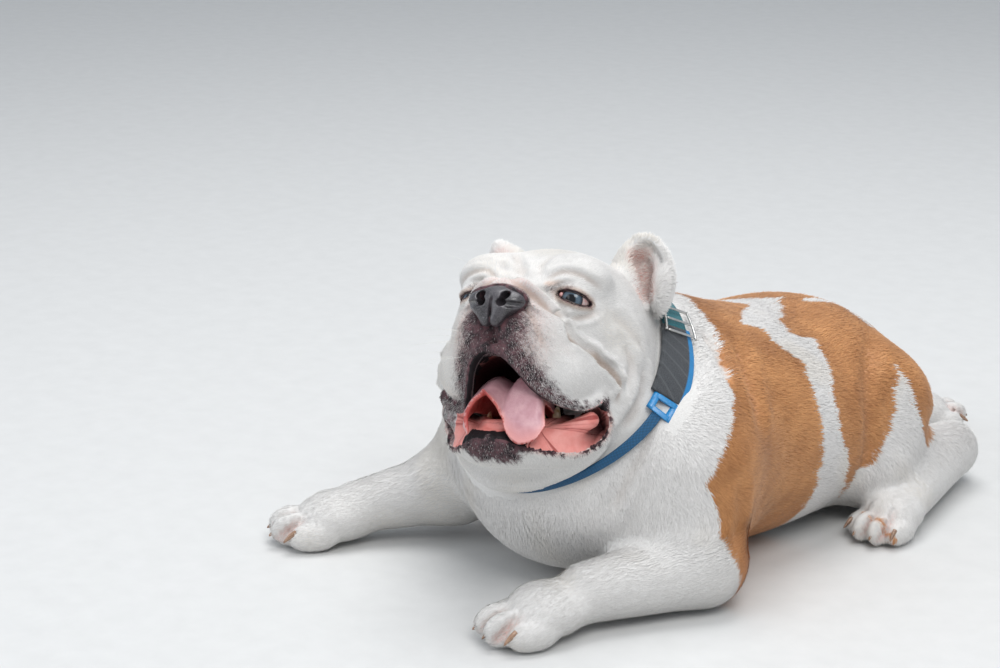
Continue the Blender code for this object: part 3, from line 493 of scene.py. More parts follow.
def ear_field(p):
    """two ears, each a leaf open to the front with a rolled rim round a deep hollow"""
    h = to_head(p)
    left = ball(h, (0.070, 0.042, 0.046), (0.032, 0.015, 0.037))
    left = join(left, limb(h, (0.056, 0.038, 0.040), (0.064, 0.044, 0.068), 0.018, 0.013), 0.012)
    r = h * np.array([-1.0, 1.0, 1.0])
    right = ball(r, (0.068, 0.046, 0.042), (0.027, 0.015, 0.033))
    right = join(right, limb(r, (0.060, 0.040, 0.040), (0.076, 0.042, 0.071), 0.016, 0.008), 0.010)
    d = np.minimum(left, right)
    m = np.where(h[:, :1] > 0, h, r * np.array([1.05, 0.95, 1.06]))
    right = np.where(h[:, 0] > 0, 0.0, 1.0)
    d = carve(d, limb(m, (0.072, 0.023, 0.064), (0.080, 0.027, 0.034), 0.0120, 0.0070) + 0.02 * right, 0.005)
    d = carve(d, limb(m, (0.072, 0.031, 0.056), (0.079, 0.036, 0.028), 0.0085, 0.0055) + 0.004 * right, 0.004)
    d = join(d, path_distance(m, EAR_NEAR_RIM) - 0.0030 + 0.004 * right, 0.005)
    d = join(d, path_distance(m, EAR_FAR_RIM) - 0.0046 + 0.006 * right, 0.006)
    return join(d, ball(m, (0.094, 0.030, 0.030), (0.0095, 0.0075, 0.022)) + 0.006 * right, 0.011)


def laid_on_head(grooves):
    """grooves with their paths moved along the slope of the head's form onto its surface"""
    out = []
    for path, depth, width in grooves:
        q = path.copy()
        for _ in range(8):
            d = head_form(q)
            slope = np.stack([(head_form(q + 0.0004 * e) - d) / 0.0004 for e in np.eye(3)], 1)
            q = q - 0.8 * d[:, None] * slope / ((slope * slope).sum(1)[:, None] + 0.05)
        out.append((q, depth, width))
    return tuple(out)


FACE_GROOVES = laid_on_head(FACE_GROOVES)
BROW_GROOVES = laid_on_head(BROW_GROOVES)
CREASES = tuple(groove for groove in FACE_GROOVES if groove[2] < 0.0043)


CLEFTS = [((x, y - 0.022, 0.010), (x * 0.8, y + 0.016, 0.046))
          for x, y in (np.array(TOES[:-1]) + TOES[1:]) / 2]


def to_paw(p, name):
    """points seen from a paw, at the size of a fore paw"""
    x0, y0, deg, size = PAWS[name]
    return (p - np.array([x0, y0, 0.0])) @ turn_z(deg) / size


def paw_field(p, name):
    """pad of the foot with four toes and the clefts between them"""
    q = to_paw(p, name)
    d = ball(q, (0, 0.004, 0.026), (0.035, 0.040, 0.026))
    for x, y in TOES:
        outer = abs(x) > 0.02
        toe = (x * 0.93, y + 0.005, 0.0145) if outer else (x, y, 0.018)
        d = join(d, ball(q, toe, (0.0125, 0.026, 0.0150) if outer else (0.0122, 0.024, 0.0180)),
                 0.007 if outer else 0.004)
    for low, high in CLEFTS:
        d = carve(d, limb(q, low, high, 0.0030, 0.0014), 0.003)
    return d * PAWS[name][-1]


def torso_field(p):
    """chest, belly, rump, shoulders, brisket, neck and tail: five balls and two limbs, joined in turn"""
    m = mirrored(p)
    return grown(
        ball(p, (0, 0.10, 0.115), (0.146, 0.160, 0.118)),
        (ball(p, (0, 0.22, 0.095), (0.150, 0.170, 0.108)), 0.050),
        (ball(p, (0, 0.32, 0.092), (0.124, 0.105, 0.100)), 0.050),
        (ball(m, (0.106, 0.03, 0.110), (0.060, 0.080, 0.095)), 0.040),
        (ball(p, (0, -0.025, 0.10), (0.105, 0.085, 0.090)), 0.050),
        (limb(p, (0, 0.08, 0.150), from_head((0, 0.045, -0.030)), 0.090, 0.080), 0.050),
        (limb(p, (0, 0.395, 0.130), (0.012, 0.436, 0.108), 0.020, 0.011), 0.012))


# rods of each leg from the body down: both ends, radii there and how softly it joins the one before
LEGS = {
    "fore_left": (
        ((0.120, 0.020, 0.120), (0.145, 0.005, 0.050), 0.058, 0.042, 0.0),
        ((0.148, 0.0, 0.040), (0.108, -0.105, 0.034), 0.039, 0.029, 0.020)),
    "fore_right": (
        ((-0.105, 0.0, 0.110), (-0.140, -0.030, 0.055), 0.054, 0.040, 0.0),
        ((-0.140, -0.030, 0.050), (-0.192, -0.105, 0.034), 0.038, 0.027, 0.020)),
    "hind_left": (
        ((0.090, 0.330, 0.100), (0.118, 0.292, 0.056), 0.064, 0.046, 0.0),
        ((0.122, 0.310, 0.048), (0.122, 0.430, 0.040), 0.036, 0.026, 0.020),
        ((0.122, 0.432, 0.033), (0.160, 0.310, 0.028), 0.026, 0.024, 0.015)),
    "hind_right": (
        ((-0.090, 0.330, 0.090), (-0.120, 0.370, 0.050), 0.064, 0.044, 0.0),
        ((-0.110, 0.380, 0.045), (-0.050, 0.470, 0.035), 0.036, 0.030, 0.020),
        ((-0.050, 0.480, 0.030), (-0.004, 0.535, 0.027), 0.026, 0.026, 0.015)),
}


def leg_field(p, name):
    """rods of one leg joined in turn, and its paw"""
    first, *rest = [(limb(p, *rod), soft) for *rod, soft in LEGS[name]]
    return grown(first[0], *rest, (paw_field(p, name), 0.012))


def collar_height(p):
    """how far places lie above the collar's middle, along its axis"""
    return (p - COLLAR_AT) @ COLLAR_AXIS


def collar_angle(p):
    """degrees round the neck from the nape, and the distance from its axis"""
    q = p - COLLAR_AT
    side, nape = q @ COLLAR_SIDE, q @ COLLAR_NAPE
    return np.degrees(np.arctan2(side, nape)), np.hypot(side, nape)


def on_head(p):
    """1 on the head above the collar, 0 on the body"""
    h = to_head(p)
    near = step(np.linalg.norm(h * np.array([1, 1, 0.9]) - (0, -0.01, -0.03), axis=1), 0.19, 0.17)
    return step(collar_height(p), -0.002, 0.010) * near


def coat_depth(p, h):
    """how far the skin lies below the tips of the coat"""
    face = step(h[:, 1], 0.030, -0.030) * on_head(p)
    bare = step(h[:, 1], -0.085, -0.105) * on_head(p)
    foot = step(p[:, 2], 0.060, 0.035)
    return BODY_COAT * (1 - face) * (1 - 0.35 * foot) + FACE_COAT * face - 0.0003 * bare


def flesh_field(p):
    """head, ears, torso and legs joined"""
    d = join(head_field(p), ear_field(p), 0.008)
    return grown(torso_field(p), (d, 0.016), *((leg_field(p, name), 0.020) for name in PAWS))


def collar_reach():
    """smoothed reach of the flesh at both edges of the strap, every five degrees"""
    angles = np.radians(np.arange(0, 360, 5))
    rows = []
    r = np.linspace(0.070, 0.160, 181)
    for high in (-COLLAR_HALF, COLLAR_HALF):
        reach = []
        for a in angles:
            out = COLLAR_SIDE * math.sin(a) + COLLAR_NAPE * math.cos(a)
            d = flesh_field(COLLAR_AT + COLLAR_AXIS * (high + COLLAR_LIFT) + out * r[:, None])
            reach.append(r[int(np.argmax(d > 0)) if (d > 0).any() else 180])
        wave_parts = np.fft.rfft(np.clip(reach, 0.090, 0.124))
        wave_parts[5:] = 0
        rows.append(np.fft.irfft(wave_parts, len(angles)))
    return rows


def reach_at(reach, degrees):
    """reach of the flesh at angles round the neck, between the values at every five degrees"""
    return np.interp(degrees, np.arange(0, 361, 5), np.append(reach, reach[0]))


def throat_fold():
    """chain of places round the throat just above the cord, where loose skin hangs over it"""
    angles = np.radians(np.arange(124, 240, 6))
    out = np.sin(angles)[:, None] * COLLAR_SIDE + np.cos(angles)[:, None] * COLLAR_NAPE
    r = reach_at(collar_reach()[1], np.degrees(angles))
    return COLLAR_AT + COLLAR_AXIS * 0.0165 + out * (r + 0.0035)[:, None]


def skin_field(p):
    """flesh less the coat's depth, with the folds, and flat just above the floor"""
    d = flesh_field(p)
    near, share = path_place(p, THROAT_FOLD, 0.04)
    d = join(d, near - 0.0125 * np.sin(math.pi * np.clip(share * 0.94 + 0.03, 0, 1)) ** 0.4, 0.014)
    d = d + coat_depth(p, to_head(p)) + groove_sum(p, BODY_GROOVES)
    return np.maximum(d, FLOOR_CLEAR - p[:, 2])


THROAT_FOLD = throat_fold()


def head_skin_field(p):
    """skin of the head, closed a little below the collar"""
    return np.maximum(skin_field(p), -0.012 - collar_height(p))


def nose_field(p):
    """nose leather a little thicker than its form, with the nostrils, cut off at its back"""
    h = pulled(to_head(p))
    d = nostrils(nose_form(h) - 0.0002, h)
    return np.maximum(d, h[:, 1] + 0.0955)


def fill_crossed_corners(grid, cell):
    """fills squares whose filled corners touch only across the diagonal, so no edge is shared twice"""
    for _ in range(6):
        inside = grid < 0
        mark = np.zeros(grid.shape, bool)
        for axis in range(3):
            u, v = [i for i in range(3) if i != axis]
            where = {}
            for du in (0, 1):
                for dv in (0, 1):
                    cut = [slice(None)] * 3
                    cut[u] = slice(du, grid.shape[u] - 1 + du)
                    cut[v] = slice(dv, grid.shape[v] - 1 + dv)
                    where[du, dv] = tuple(cut)
            a, b = inside[where[0, 0]], inside[where[1, 1]]
            c, d = inside[where[1, 0]], inside[where[0, 1]]
            bad = (a & b & ~c & ~d) | (c & d & ~a & ~b)
            for cut in where.values():
                mark[cut] |= bad
        mark &= ~inside
        if not mark.any():
            return
        grid[mark] = -0.05 * cell


def surface_of(field, low, high, cell):
    """closed quad surface where the field is zero: one point in each crossed cell"""
    low = np.asarray(low, float)
    count = np.ceil((np.asarray(high, float) - low) / cell).astype(int) + 1
    block = FIELD_BLOCK
    blocks = (count + block) // block
    count = blocks * block + 1
    mids = [low[i] + cell * block * (np.arange(blocks[i]) + 0.5) for i in range(3)]
    coarse = np.stack(np.meshgrid(*mids, indexing="ij"), -1).reshape(-1, 3)
    rough = field(coarse).reshape(blocks)
    grid = rough
    for axis in range(3):
        grid = np.repeat(grid, block, axis)
    grid = np.pad(grid, ((0, 1), (0, 1), (0, 1)), mode="edge")
    reach = cell * block * 0.5 * math.sqrt(3) * 1.25 + 0.004
    near = np.argwhere(np.abs(rough) < reach)
    offset = np.stack(np.meshgrid(*[np.arange(block + 1)] * 3, indexing="ij"), -1).reshape(-1, 3)
    todo = np.zeros(count, bool)
    at = (near[:, None, :] * block + offset[None]).reshape(-1, 3)
    todo[at[:, 0], at[:, 1], at[:, 2]] = True
    at = np.argwhere(todo)
    values = np.empty(len(at))
    for start in range(0, len(at), FIELD_BATCH):
        part = slice(start, start + FIELD_BATCH)
        values[part] = field(low + at[part] * cell)
    grid[todo] = values
    for axis in range(3):
        for end in (0, -1):
            where = [slice(None)] * 3
            where[axis] = end
            grid[tuple(where)] = np.maximum(grid[tuple(where)], cell * 0.5)
    fill_crossed_corners(grid, cell)
    inside = grid < 0
    corners = [(x, y, z) for x in (0, 1) for y in (0, 1) for z in (0, 1)]
    filled = sum(inside[x:count[0] - 1 + x, y:count[1] - 1 + y, z:count[2] - 1 + z].astype(int)
                 for x, y, z in corners)
    cells = np.argwhere((filled > 0) & (filled < 8))
    value = np.stack([grid[cells[:, 0] + x, cells[:, 1] + y, cells[:, 2] + z]
                      for x, y, z in corners], 1)
    total = np.zeros((len(cells), 3))
    number = np.zeros(len(cells))
    for i in range(8):
        for j in range(i + 1, 8):
            a, b = np.array(corners[i]), np.array(corners[j])
            if np.abs(a - b).sum() != 1:
                continue
            crossed = (value[:, i] < 0) != (value[:, j] < 0)
            span = np.where(crossed, value[:, i] - value[:, j], 1.0)
            t = np.where(crossed, value[:, i] / span, 0.0)
            total += crossed[:, None] * (a + t[:, None] * (b - a))
            number += crossed
    points = low + (cells + total / number[:, None]) * cell
    point_in = np.full(count - 1, -1, np.int64)
    point_in[cells[:, 0], cells[:, 1], cells[:, 2]] = np.arange(len(cells))
    faces = []
    for axis in range(3):
        one, two = [(1, 2), (2, 0), (0, 1)][axis]
        here = [slice(0, count[i] - 1) if i == axis else slice(1, count[i] - 1) for i in range(3)]
        there = list(here)
        there[axis] = slice(1, count[axis])
        edge = np.argwhere(inside[tuple(here)] != inside[tuple(there)])
        outward = inside[tuple(here)][edge[:, 0], edge[:, 1], edge[:, 2]]
        base = edge + np.array([0 if i == axis else 1 for i in range(3)])
        u, v = np.eye(3, dtype=int)[one], np.eye(3, dtype=int)[two]
        quad = np.stack([point_in[tuple(c.T)] for c in (base - u - v, base - v, base, base - u)], 1)
        quad[~outward] = quad[~outward][:, ::-1]
        faces.append(quad)
    return points, np.concatenate(faces)


def settle(field, points, rounds=2, most=0.0010):
    """moves points onto the zero of the field along its slope"""
    tiny = 0.0003
    for _ in range(rounds):
        d = field(points)
        slope = np.stack([(field(points + tiny * e) - d) / tiny for e in np.eye(3)], 1)
        move = -(d / ((slope * slope).sum(1) + 0.05))[:, None] * slope
        length = np.linalg.norm(move, axis=1, keepdims=True)
        points = points + move * np.minimum(1.0, most / np.maximum(length, 1e-9))
    return points


# markings on the left flank: angle up from the flank in degrees and place along the body in mm
SHOULDER_LINE = ((-26, -27), (-14, -29), (-4, -25), (10, -24), (19, -6), (31, 35), (43, 67), (53, 86),
                 (64, 101), (72, 110), (85, 123), (110, 128))
BAND_FRONT = ((-20, 176), (0, 168), (20, 177), (30, 181), (40, 189), (46, 180), (53, 170), (60, 177),
              (64, 153), (70, 169), (88, 240), (110, 260))
BAND_BACK = ((-28, 239), (-10, 220), (0, 212), (10, 203), (22, 205), (34, 224), (43, 238), (52, 241),
             (57, 215), (66, 227), (78, 262), (87, 280), (92, 305), (110, 290))
THIGH_FRONT = ((-20, 243), (-9, 249), (-4, 262), (7, 285), (18, 304), (29, 319))
THIGH_BACK = ((-20, 350), (-4, 342), (9, 323), (19, 320), (29, 319))
BACK_SPOTS = ((0.328, 80.5, 0.024, 3.5), (0.356, 61.0, 0.007, 10.0))


def wave(p, scale, seed):
    """smooth wandering value between about -1 and 1, made of a few sines"""
    rng = np.random.default_rng(seed)
    total = np.zeros(len(p))
    for _ in range(5):
        way = rng.normal(size=3)
        way = way / np.linalg.norm(way) * rng.uniform(0.6, 1.5)
        total += np.sin(p @ way * (2 * math.pi / scale) + rng.uniform(0, 6.28))
    return total / 2.6


def line_at(angle, line):
    """place along the body of a boundary at each angle"""
    at = np.array(line, float)
    return np.interp(angle, at[:, 0], at[:, 1] / MM)


def tan_share(p):
    """1 on tan hair, 0 on white hair, from the flank's boundaries in angle and length"""
    left = p[:, 0] > 0
    angle = np.degrees(np.arctan2(p[:, 2] - 0.09, np.abs(p[:, 0])))
    drift = np.where(left, 0.0, 0.022 * step(angle, 88, 50) + 0.010 * step(angle, 50, 10))
    y = p[:, 1] - drift + 0.0022 * wave(p, 0.030, 3) + 0.0010 * wave(p, 0.009, 4)
    tan = y > line_at(angle, SHOULDER_LINE)
    band = (y > line_at(angle, BAND_FRONT)) & (y < line_at(angle, BAND_BACK))
    thigh = (angle < 29) & (y > line_at(angle, THIGH_FRONT)) & (y < line_at(angle, THIGH_BACK))
    spots = np.zeros(len(p), bool)
    for y0, a0, ry, ra in BACK_SPOTS:
        spots |= left & (((y - y0) / ry) ** 2 + ((angle - a0) / ra) ** 2 < 1)
    low = (angle < -8) & (y > 0.236)
    hock = (p[:, 2] < 0.075 + 0.2 * (p[:, 1] - 0.40)) & (p[:, 1] > 0.30)
    arm = (leg_field(p, "fore_left") < 0.012) & (p[:, 1] < -0.010 + 0.25 * (0.11 - p[:, 2]))
    arm |= (leg_field(p, "fore_right") < 0.012) & (p[:, 1] < 0.030)
    tan &= ~(band | thigh | spots | low | hock | arm)
    return np.where(on_head(p) > 0.3, 0.0, tan.astype(float))


CHIN_PATH = np.array(((-12, -92, -127), (0, -93, -127), (13, -91, -128))) / MM
CORNER_AT = np.array([0.0765, -0.0490, -0.0820])
# path of the painted shade under the brow
BROW_SHADE = np.array(((28, -73.5, 14), (36, -72, 16.5), (47, -73.5, 16.5))) / MM
STAINS = (
    (np.array([(0.026, -0.075, 0.019), (0.034, -0.074, 0.0195), (0.045, -0.074, 0.021)]), 0.0050, 0.50),
    (np.array([(0.031, -0.074, 0.012), (0.035, -0.076, 0.004), (0.042, -0.080, -0.010)]), 0.0042, 0.42),
    (np.array([(0.060, -0.066, 0.007), (0.069, -0.058, 0.006)]), 0.0042, 0.35),
    (np.array([(0.100, 0.034, 0.040), (0.100, 0.035, 0.042)]), 0.0045, 0.80),
)
EAR_HOLLOW = np.array(((70, 30, 62), (76, 33, 45), (80, 33, 30))) / MM
CREASE_FROM = np.array([0.030, -0.066, -0.108])


def flap_field(m):
    """turned out lining of the lower lip beside the teeth"""
    flap = limb(m, (0.036, -0.078, -0.120), (0.051, -0.066, -0.115), 0.0105, 0.0175)
    return np.minimum(flap, limb(m, (0.051, -0.066, -0.115), (0.073, -0.045, -0.097), 0.0175, 0.0135))


def stained(m):
    """light tan spots of the face: strongest on each path and gone at its radius"""
    stain = np.zeros(len(m))
    for path, radius, strength in STAINS:
        stain = np.maximum(stain, step(path_distance(m, path), radius, 0.0) * strength)
    return stain


def between_toes(p):
    """1 low in the clefts between the toes, where bare skin shows, and 0 away from them"""
    bare = np.zeros(len(p))
    for name in PAWS:
        q = to_paw(p, name)
        for low, high in CLEFTS:
            cleft = limb(q, low, high, 0.0, 0.0)
            bare = np.maximum(bare, step(cleft, 0.0070, 0.0030) * step(p[:, 2], 0.036, 0.018))
    return bare


def marks_of(p):
    """pigment at points: tan coat, dark skin with the painted shade under the brows, bare pink skin and wet
    lining, each from 0 to 1
    """
    head = on_head(p)
    u = to_head(p)
    h = pulled(u)
    m = mirrored(h)
    tan = tan_share(p)
    tan = np.maximum(tan, stained(mirrored(u)) * head * (0.75 + 0.25 * (u[:, 0] > 0)))
    lid = eye_slot(h, m)
    tan = np.maximum(tan, step(lid, 0.0065, 0.001) * 0.32 * head)
    blotch = wave(h, 0.011, 11) * 0.5 + wave(h, 0.005, 12) * 0.5
    dark = step(path_distance(h, PHILTRUM, 0.06) + 0.005 * blotch, 0.050, 0.013)
    under_roll = step(h[:, 2] + 0.5 * np.maximum(np.abs(h[:, 0]) - 0.022, 0), 0.004, -0.003)
    under_roll = under_roll * step(path_distance(m, NOSE_ROLL), 0.0080, 0.0125)
    dark = np.maximum(dark * under_roll, step(nose_form(h), 0.0040, 0.0008) * 0.9)
    dark = np.maximum(dark, step(path_distance(h, PHILTRUM), 0.0042, 0.0022))
    left, share_left = path_place(h, UPPER_RIM, 0.05)
    right, share_right = path_place(h, RIGHT_RIM, 0.05)
    rim = np.minimum(left, right)
    share = np.where(left < right, share_left, share_right * 0.55)
    width = 0.034 * (1 - share) ** 1.4 + 0.0048
    edge, lower = lips(h, m)
    freckled = step(rim + 0.003 * blotch, width, width * 0.2)
    dark = np.maximum(dark, freckled * (0.97 - 0.30 * share) * (1 - lower))
    chin = step(path_distance(h, CHIN_PATH) + 0.003 * blotch, 0.0205, 0.0125)
    dark = np.maximum(dark, chin)
    lining = step(edge, -0.0004, -0.0014)
    upper = (1 - lower) * step(path_distance(m, GUM_RIDGE), 0.006, 0.012) * step(m[:, 2], -0.099, -0.094)
    dark = dark * (1 - lining * (1 - upper))
    outer = step(-h[:, 0] + 0.002 * blotch, 0.0535, 0.0585) * step(m[:, 1], -0.030, -0.034)
    dark = np.maximum(dark, lining * outer * 0.55)
    lining = lining * (1 - outer)
    front = lower * step(np.abs(h[:, 0]), 0.036, 0.028) * step(m[:, 1], -0.070, -0.078)
    dark = np.maximum(dark, front * step(edge + 0.001 * blotch, -0.0100, -0.0080) * step(edge, 0.006, 0.001))
    dark = np.maximum(dark, lining * upper * step(share, 0.88, 0.66))
    dark = np.maximum(dark, step(np.linalg.norm(m - CORNER_AT, axis=1) + 0.002 * blotch, 0.0080, 0.0056))
    # painted shade under the brow, laid into the dark pigment
    dark = np.maximum(dark, step(path_distance(m, BROW_SHADE), 0.0062, 0.0010) * 0.45)
    line = step(np.abs(edge - 0.0004) + 0.0020 * blotch, 0.0022, 0.0008) * lower
    line = line * (0.25 + 0.75 * step(wave(h, 0.018, 17), -0.5, 0.2))
    dark = np.maximum(dark, line * 0.97)
    dark = np.maximum(dark, step(lid, 0.0034, 0.0006) * 0.85)
    pink = step(path_distance(h, PHILTRUM, 0.06), 0.060, 0.030) * 0.55
    ear = step(path_distance(mirrored(u), EAR_HOLLOW), 0.016, 0.008) * (0.4 + 0.6 * (u[:, 0] > 0))
    pink = np.maximum(pink, ear)
    pink = np.maximum(pink, step(path_distance(m, NOSE_ROLL), 0.012, 0.004) * 0.30)
    pink = np.maximum(pink, step(edge, 0.0040, 0.0010) * lower * 0.8)
    inner = step(mouth_hollow(h, m), 0.0034, 0.0022) * step(rim, 0.0075, 0.0100)
    wet = np.maximum(lining, inner) * step(nose_form(h), 0.004, 0.008)
    pink = np.where(head > 0.3, pink, between_toes(p) * 0.8)
    return np.stack([tan, dark * head, pink, wet * head], 1)


def shade_of(p):
    """painted shade of the folds and lids, the ear's hollow darkened partly as painted shade, painted shadow
    deep inside the mouth, and the turn round the teeth, for colouring the skin
    """
    u = to_head(p)
    h = pulled(u)
    m = mirrored(h)
    # painted shade: darker colour along the grooves of face, brows and body
    fold = groove_sum(m, CREASES) * 1.2 + groove_sum(m, FACE_GROOVES) * 0.5
    fold = fold + groove_sum(h, BROW_GROOVES) * 0.7 + groove_sum(p, BODY_GROOVES) * 0.6
    fold = np.clip(fold / 0.0040, 0, 1)
    # painted shadow: 1 deep inside the mouth and down the throat, where the lining turns near black
    deep = step(u[:, 1], -0.102, -0.082) * step(u[:, 2], -0.104, -0.088)
    deep = deep * step(np.abs(u[:, 0]), 0.046, 0.034)
    # painted shade round the eyes
    lid = step(eye_slot(h, m), 0.0060, 0.0015) * on_head(p)
    fold = np.maximum(fold, lid * 0.85)
    deep = np.maximum(deep, step(u[:, 1], -0.060, -0.030))
    # the ear's hollow: its pink-brown skin darkened as painted shade
    hollow = step(path_distance(mirrored(u), EAR_HOLLOW), 0.013, 0.005) * (0.3 + 0.7 * (u[:, 0] > 0))
    around = np.arctan2(u[:, 2] - CREASE_FROM[2], np.abs(u[:, 0]) - CREASE_FROM[0]) / math.pi
    return np.stack([fold, deep, hollow, np.clip(around * 0.5 + 0.5, 0, 1)], 1)


# mesh making


def mesh_object(name, points, faces, smooth=True, place=True):
    """object at the origin from arrays; faces are rows of equal length"""
    points = real(points) if place else np.asarray(points, float)
    faces = np.asarray(faces, np.int64)
    mesh = bpy.data.meshes.new(name)
    mesh.vertices.add(len(points))
    mesh.vertices.foreach_set("co", points.astype(np.float32).ravel())
    mesh.loops.add(faces.size)
    mesh.loops.foreach_set("vertex_index", faces.astype(np.int32).ravel())
    mesh.polygons.add(len(faces))
    mesh.polygons.foreach_set("loop_start", (np.arange(len(faces)) * faces.shape[1]).astype(np.int32))
    mesh.update(calc_edges=True)
    mesh.polygons.foreach_set("use_smooth", np.full(len(faces), smooth))
    thing = bpy.data.objects.new(name, mesh)
    bpy.context.scene.collection.objects.link(thing)
    return thing


def grid_faces(rows, columns, round_way=False, start=0):
    """quads of a grid whose points run along the columns first; round_way closes each row"""
    i, j = np.meshgrid(np.arange(rows - 1), np.arange(columns if round_way else columns - 1), indexing="ij")
    k = (j + 1) % columns
    quads = np.stack([i * columns + j, i * columns + k, (i + 1) * columns + k, (i + 1) * columns + j], -1)
    return quads.reshape(-1, 4) + start


def attribute(mesh, name, values):
    """stores four values for each vertex"""
    layer = mesh.attributes.new(name, "FLOAT_COLOR", "POINT")
    layer.data.foreach_set("color", np.asarray(values, np.float32).ravel())


def rows_of(items, name, width, kind=np.float32):
    """a property of a mesh's points, corners or triangles, as rows of numbers"""
    values = np.empty(len(items) * width, kind)
    items.foreach_get(name, values)
    return values.reshape(-1, width)


def points_of(mesh):
    return rows_of(mesh.vertices, "co", 3).astype(float)


def weld(thing, reach=WELD):
    """merges points that meet, which closes seams and poles, and turns all faces outwards"""
    form = bmesh.new()
    form.from_mesh(thing.data)
    bmesh.ops.remove_doubles(form, verts=list(form.verts), dist=reach)
    bmesh.ops.recalc_face_normals(form, faces=list(form.faces))
    form.to_mesh(thing.data)
    form.free()
    thing.data.polygons.foreach_set("use_smooth", np.full(len(thing.data.polygons), True))


def capped(rings):
    """rings of a rod with their middle point added at both ends"""
    ends = [np.repeat(end.mean(1, keepdims=True), rings.shape[1], 1) for end in (rings[:1], rings[-1:])]
    return np.concatenate([ends[0], rings, ends[1]])


def carry(thing, nodes=()):
    """lets a piece ride on the part and stand for CAD nodes"""
    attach(thing, "root")
    if nodes:
        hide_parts(*nodes)
    return thing


def tube(path, radii, sides=8, squash=(1.0, 1.0), up=(0.3, 0.1, 1.0)):
    """rings round a path: the radius runs along it, and both ends draw in to a point"""
    path = np.asarray(path, float)
    way = unit(np.gradient(path, axis=0))
    u = unit(np.cross(way, np.asarray(up, float)))
    v = np.cross(way, u)
    turn = np.arange(sides) * 2 * math.pi / sides
    ring = (np.cos(turn)[None, :, None] * u[:, None] * squash[0]
            + np.sin(turn)[None, :, None] * v[:, None] * squash[1])
    return path[:, None] + ring * np.asarray(radii, float)[:, None, None]


def joined(name, grids, place=True):
    """one mesh from several grids of rings, each closed round and with its ends drawn to points"""
    faces, start = [], 0
    for rings in grids:
        rows, columns = rings.shape[:2]
        faces.append(grid_faces(rows, columns, True, start))
        start += rows * columns
    points = np.concatenate([rings.reshape(-1, 3) for rings in grids])
    thing = mesh_object(name, points, np.concatenate(faces), place=place)
    weld(thing)
    return thing


# materials


class Nodes:
    """short calls for the nodes of one material"""

    def __init__(self, name, rough=0.6, **sockets):
        self.material = bpy.data.materials.new(name)
        self.material.use_nodes = True
        self.tree = self.material.node_tree
        self.shader = self.tree.nodes["Principled BSDF"]
        self.shader.inputs["Roughness"].default_value = rough
        for key, value in sockets.items():
            self.shader.inputs[key.replace("_", " ")].default_value = value

    def feed(self, socket, value):
        """links a socket to another one or sets its value; a colour gets its fourth number"""
        if isinstance(value, bpy.types.NodeSocket):
            self.tree.links.new(value, socket)
        elif socket.type == "RGBA":
            socket.default_value = tuple(value) + (1.0,)
        else:
            socket.default_value = value

    def add(self, kind, inputs=(), **settings):
        node = self.tree.nodes.new(kind)
        for key, value in settings.items():
            setattr(node, key, value)
        for key, value in dict(inputs).items():
            self.feed(node.inputs[key], value)
        return node

    def spot(self, scale=(1, 1, 1)):
        """object coordinates, stretched"""
        coords = self.add("ShaderNodeTexCoord")
        return self.add("ShaderNodeMapping", {"Vector": coords.outputs["Object"], "Scale": scale}).outputs[0]

    def noise(self, scale, detail=3.0, at=None, rough=0.55):
        vector = self.spot() if at is None else at
        return self.add("ShaderNodeTexNoise", {"Vector": vector, "Scale": scale, "Detail": detail,
                                               "Roughness": rough}).outputs["Fac"]

    def cells(self, scale):
        return self.add("ShaderNodeTexVoronoi", {"Vector": self.spot(), "Scale": scale}).outputs["Distance"]

    def sum(self, a, b, operation="ADD"):
        return self.add("ShaderNodeMath", {0: a, 1: b}, operation=operation).outputs[0]

    def times(self, a, b):
        return self.sum(a, b, "MULTIPLY")

    def sine(self, value, pitch):
        """sine of a length, one wave for each pitch"""
        turned = self.times(value, 2 * math.pi / pitch)
        return self.add("ShaderNodeMath", {0: turned}, operation="SINE").outputs[0]

    def pair(self, x, y):
        """two values as a place to read a pattern at"""
        return self.add("ShaderNodeCombineXYZ", {"X": x, "Y": y}).outputs[0]

    def band(self, value, low, high):
        """value carried from low..high to 0..1 and held there"""
        return self.add("ShaderNodeMapRange", {"Value": value, "From Min": low, "From Max": high},
                        clamp=True).outputs["Result"]

    def mix(self, share, a, b, blend="MIX"):
        """two colours mixed; the sockets of the colour kind are the seventh and eighth"""
        return self.add("ShaderNodeMix", {0: share, 6: a, 7: b}, data_type="RGBA",
                        blend_type=blend).outputs[2]

    def split(self, name):
        """the four values stored in a vertex attribute"""
        source = self.add("ShaderNodeAttribute", attribute_name=name)
        parts = self.add("ShaderNodeSeparateColor", {"Color": source.outputs["Color"]})
        return parts.outputs[0], parts.outputs[1], parts.outputs[2], source.outputs["Alpha"]

    def bump(self, height, depth, strength=1.0):
        """relief in metres"""
        return self.add("ShaderNodeBump", {"Height": height, "Distance": depth,
                                           "Strength": strength}).outputs["Normal"]

    def out(self, colour, rough=None, normal=None):
        for key, value in (("Base Color", colour), ("Roughness", rough), ("Normal", normal)):
            if value is not None:
                self.tree.links.new(value, self.shader.inputs[key])
        return self.material

    def speckled(self, spots, span, one, other, depth=0.0001, strength=1.0):
        """finished material of two tones that follow a pattern, with its relief"""
        colour = self.mix(self.band(spots, *span), one, other)
        return self.out(colour, None, self.bump(spots, depth, strength))


WHITE = (0.80, 0.785, 0.765)
TAN = (0.56, 0.258, 0.092)
FACE_PINK = (0.62, 0.36, 0.31)
DARK_SKIN = (0.016, 0.012, 0.014)
MAUVE_SKIN = (0.125, 0.058, 0.066)
LINING = (0.70, 0.235, 0.205)
# near black for the painted shadow deep in the mouth
LINING_MOUTH_SHADOW = (0.030, 0.005, 0.006)
LINING_PALE = (0.80, 0.36, 0.32)
# dark red along the creases of the lower lip's lining: painted shade in the creases
LINING_CREASE_SHADE = (0.30, 0.040, 0.036)
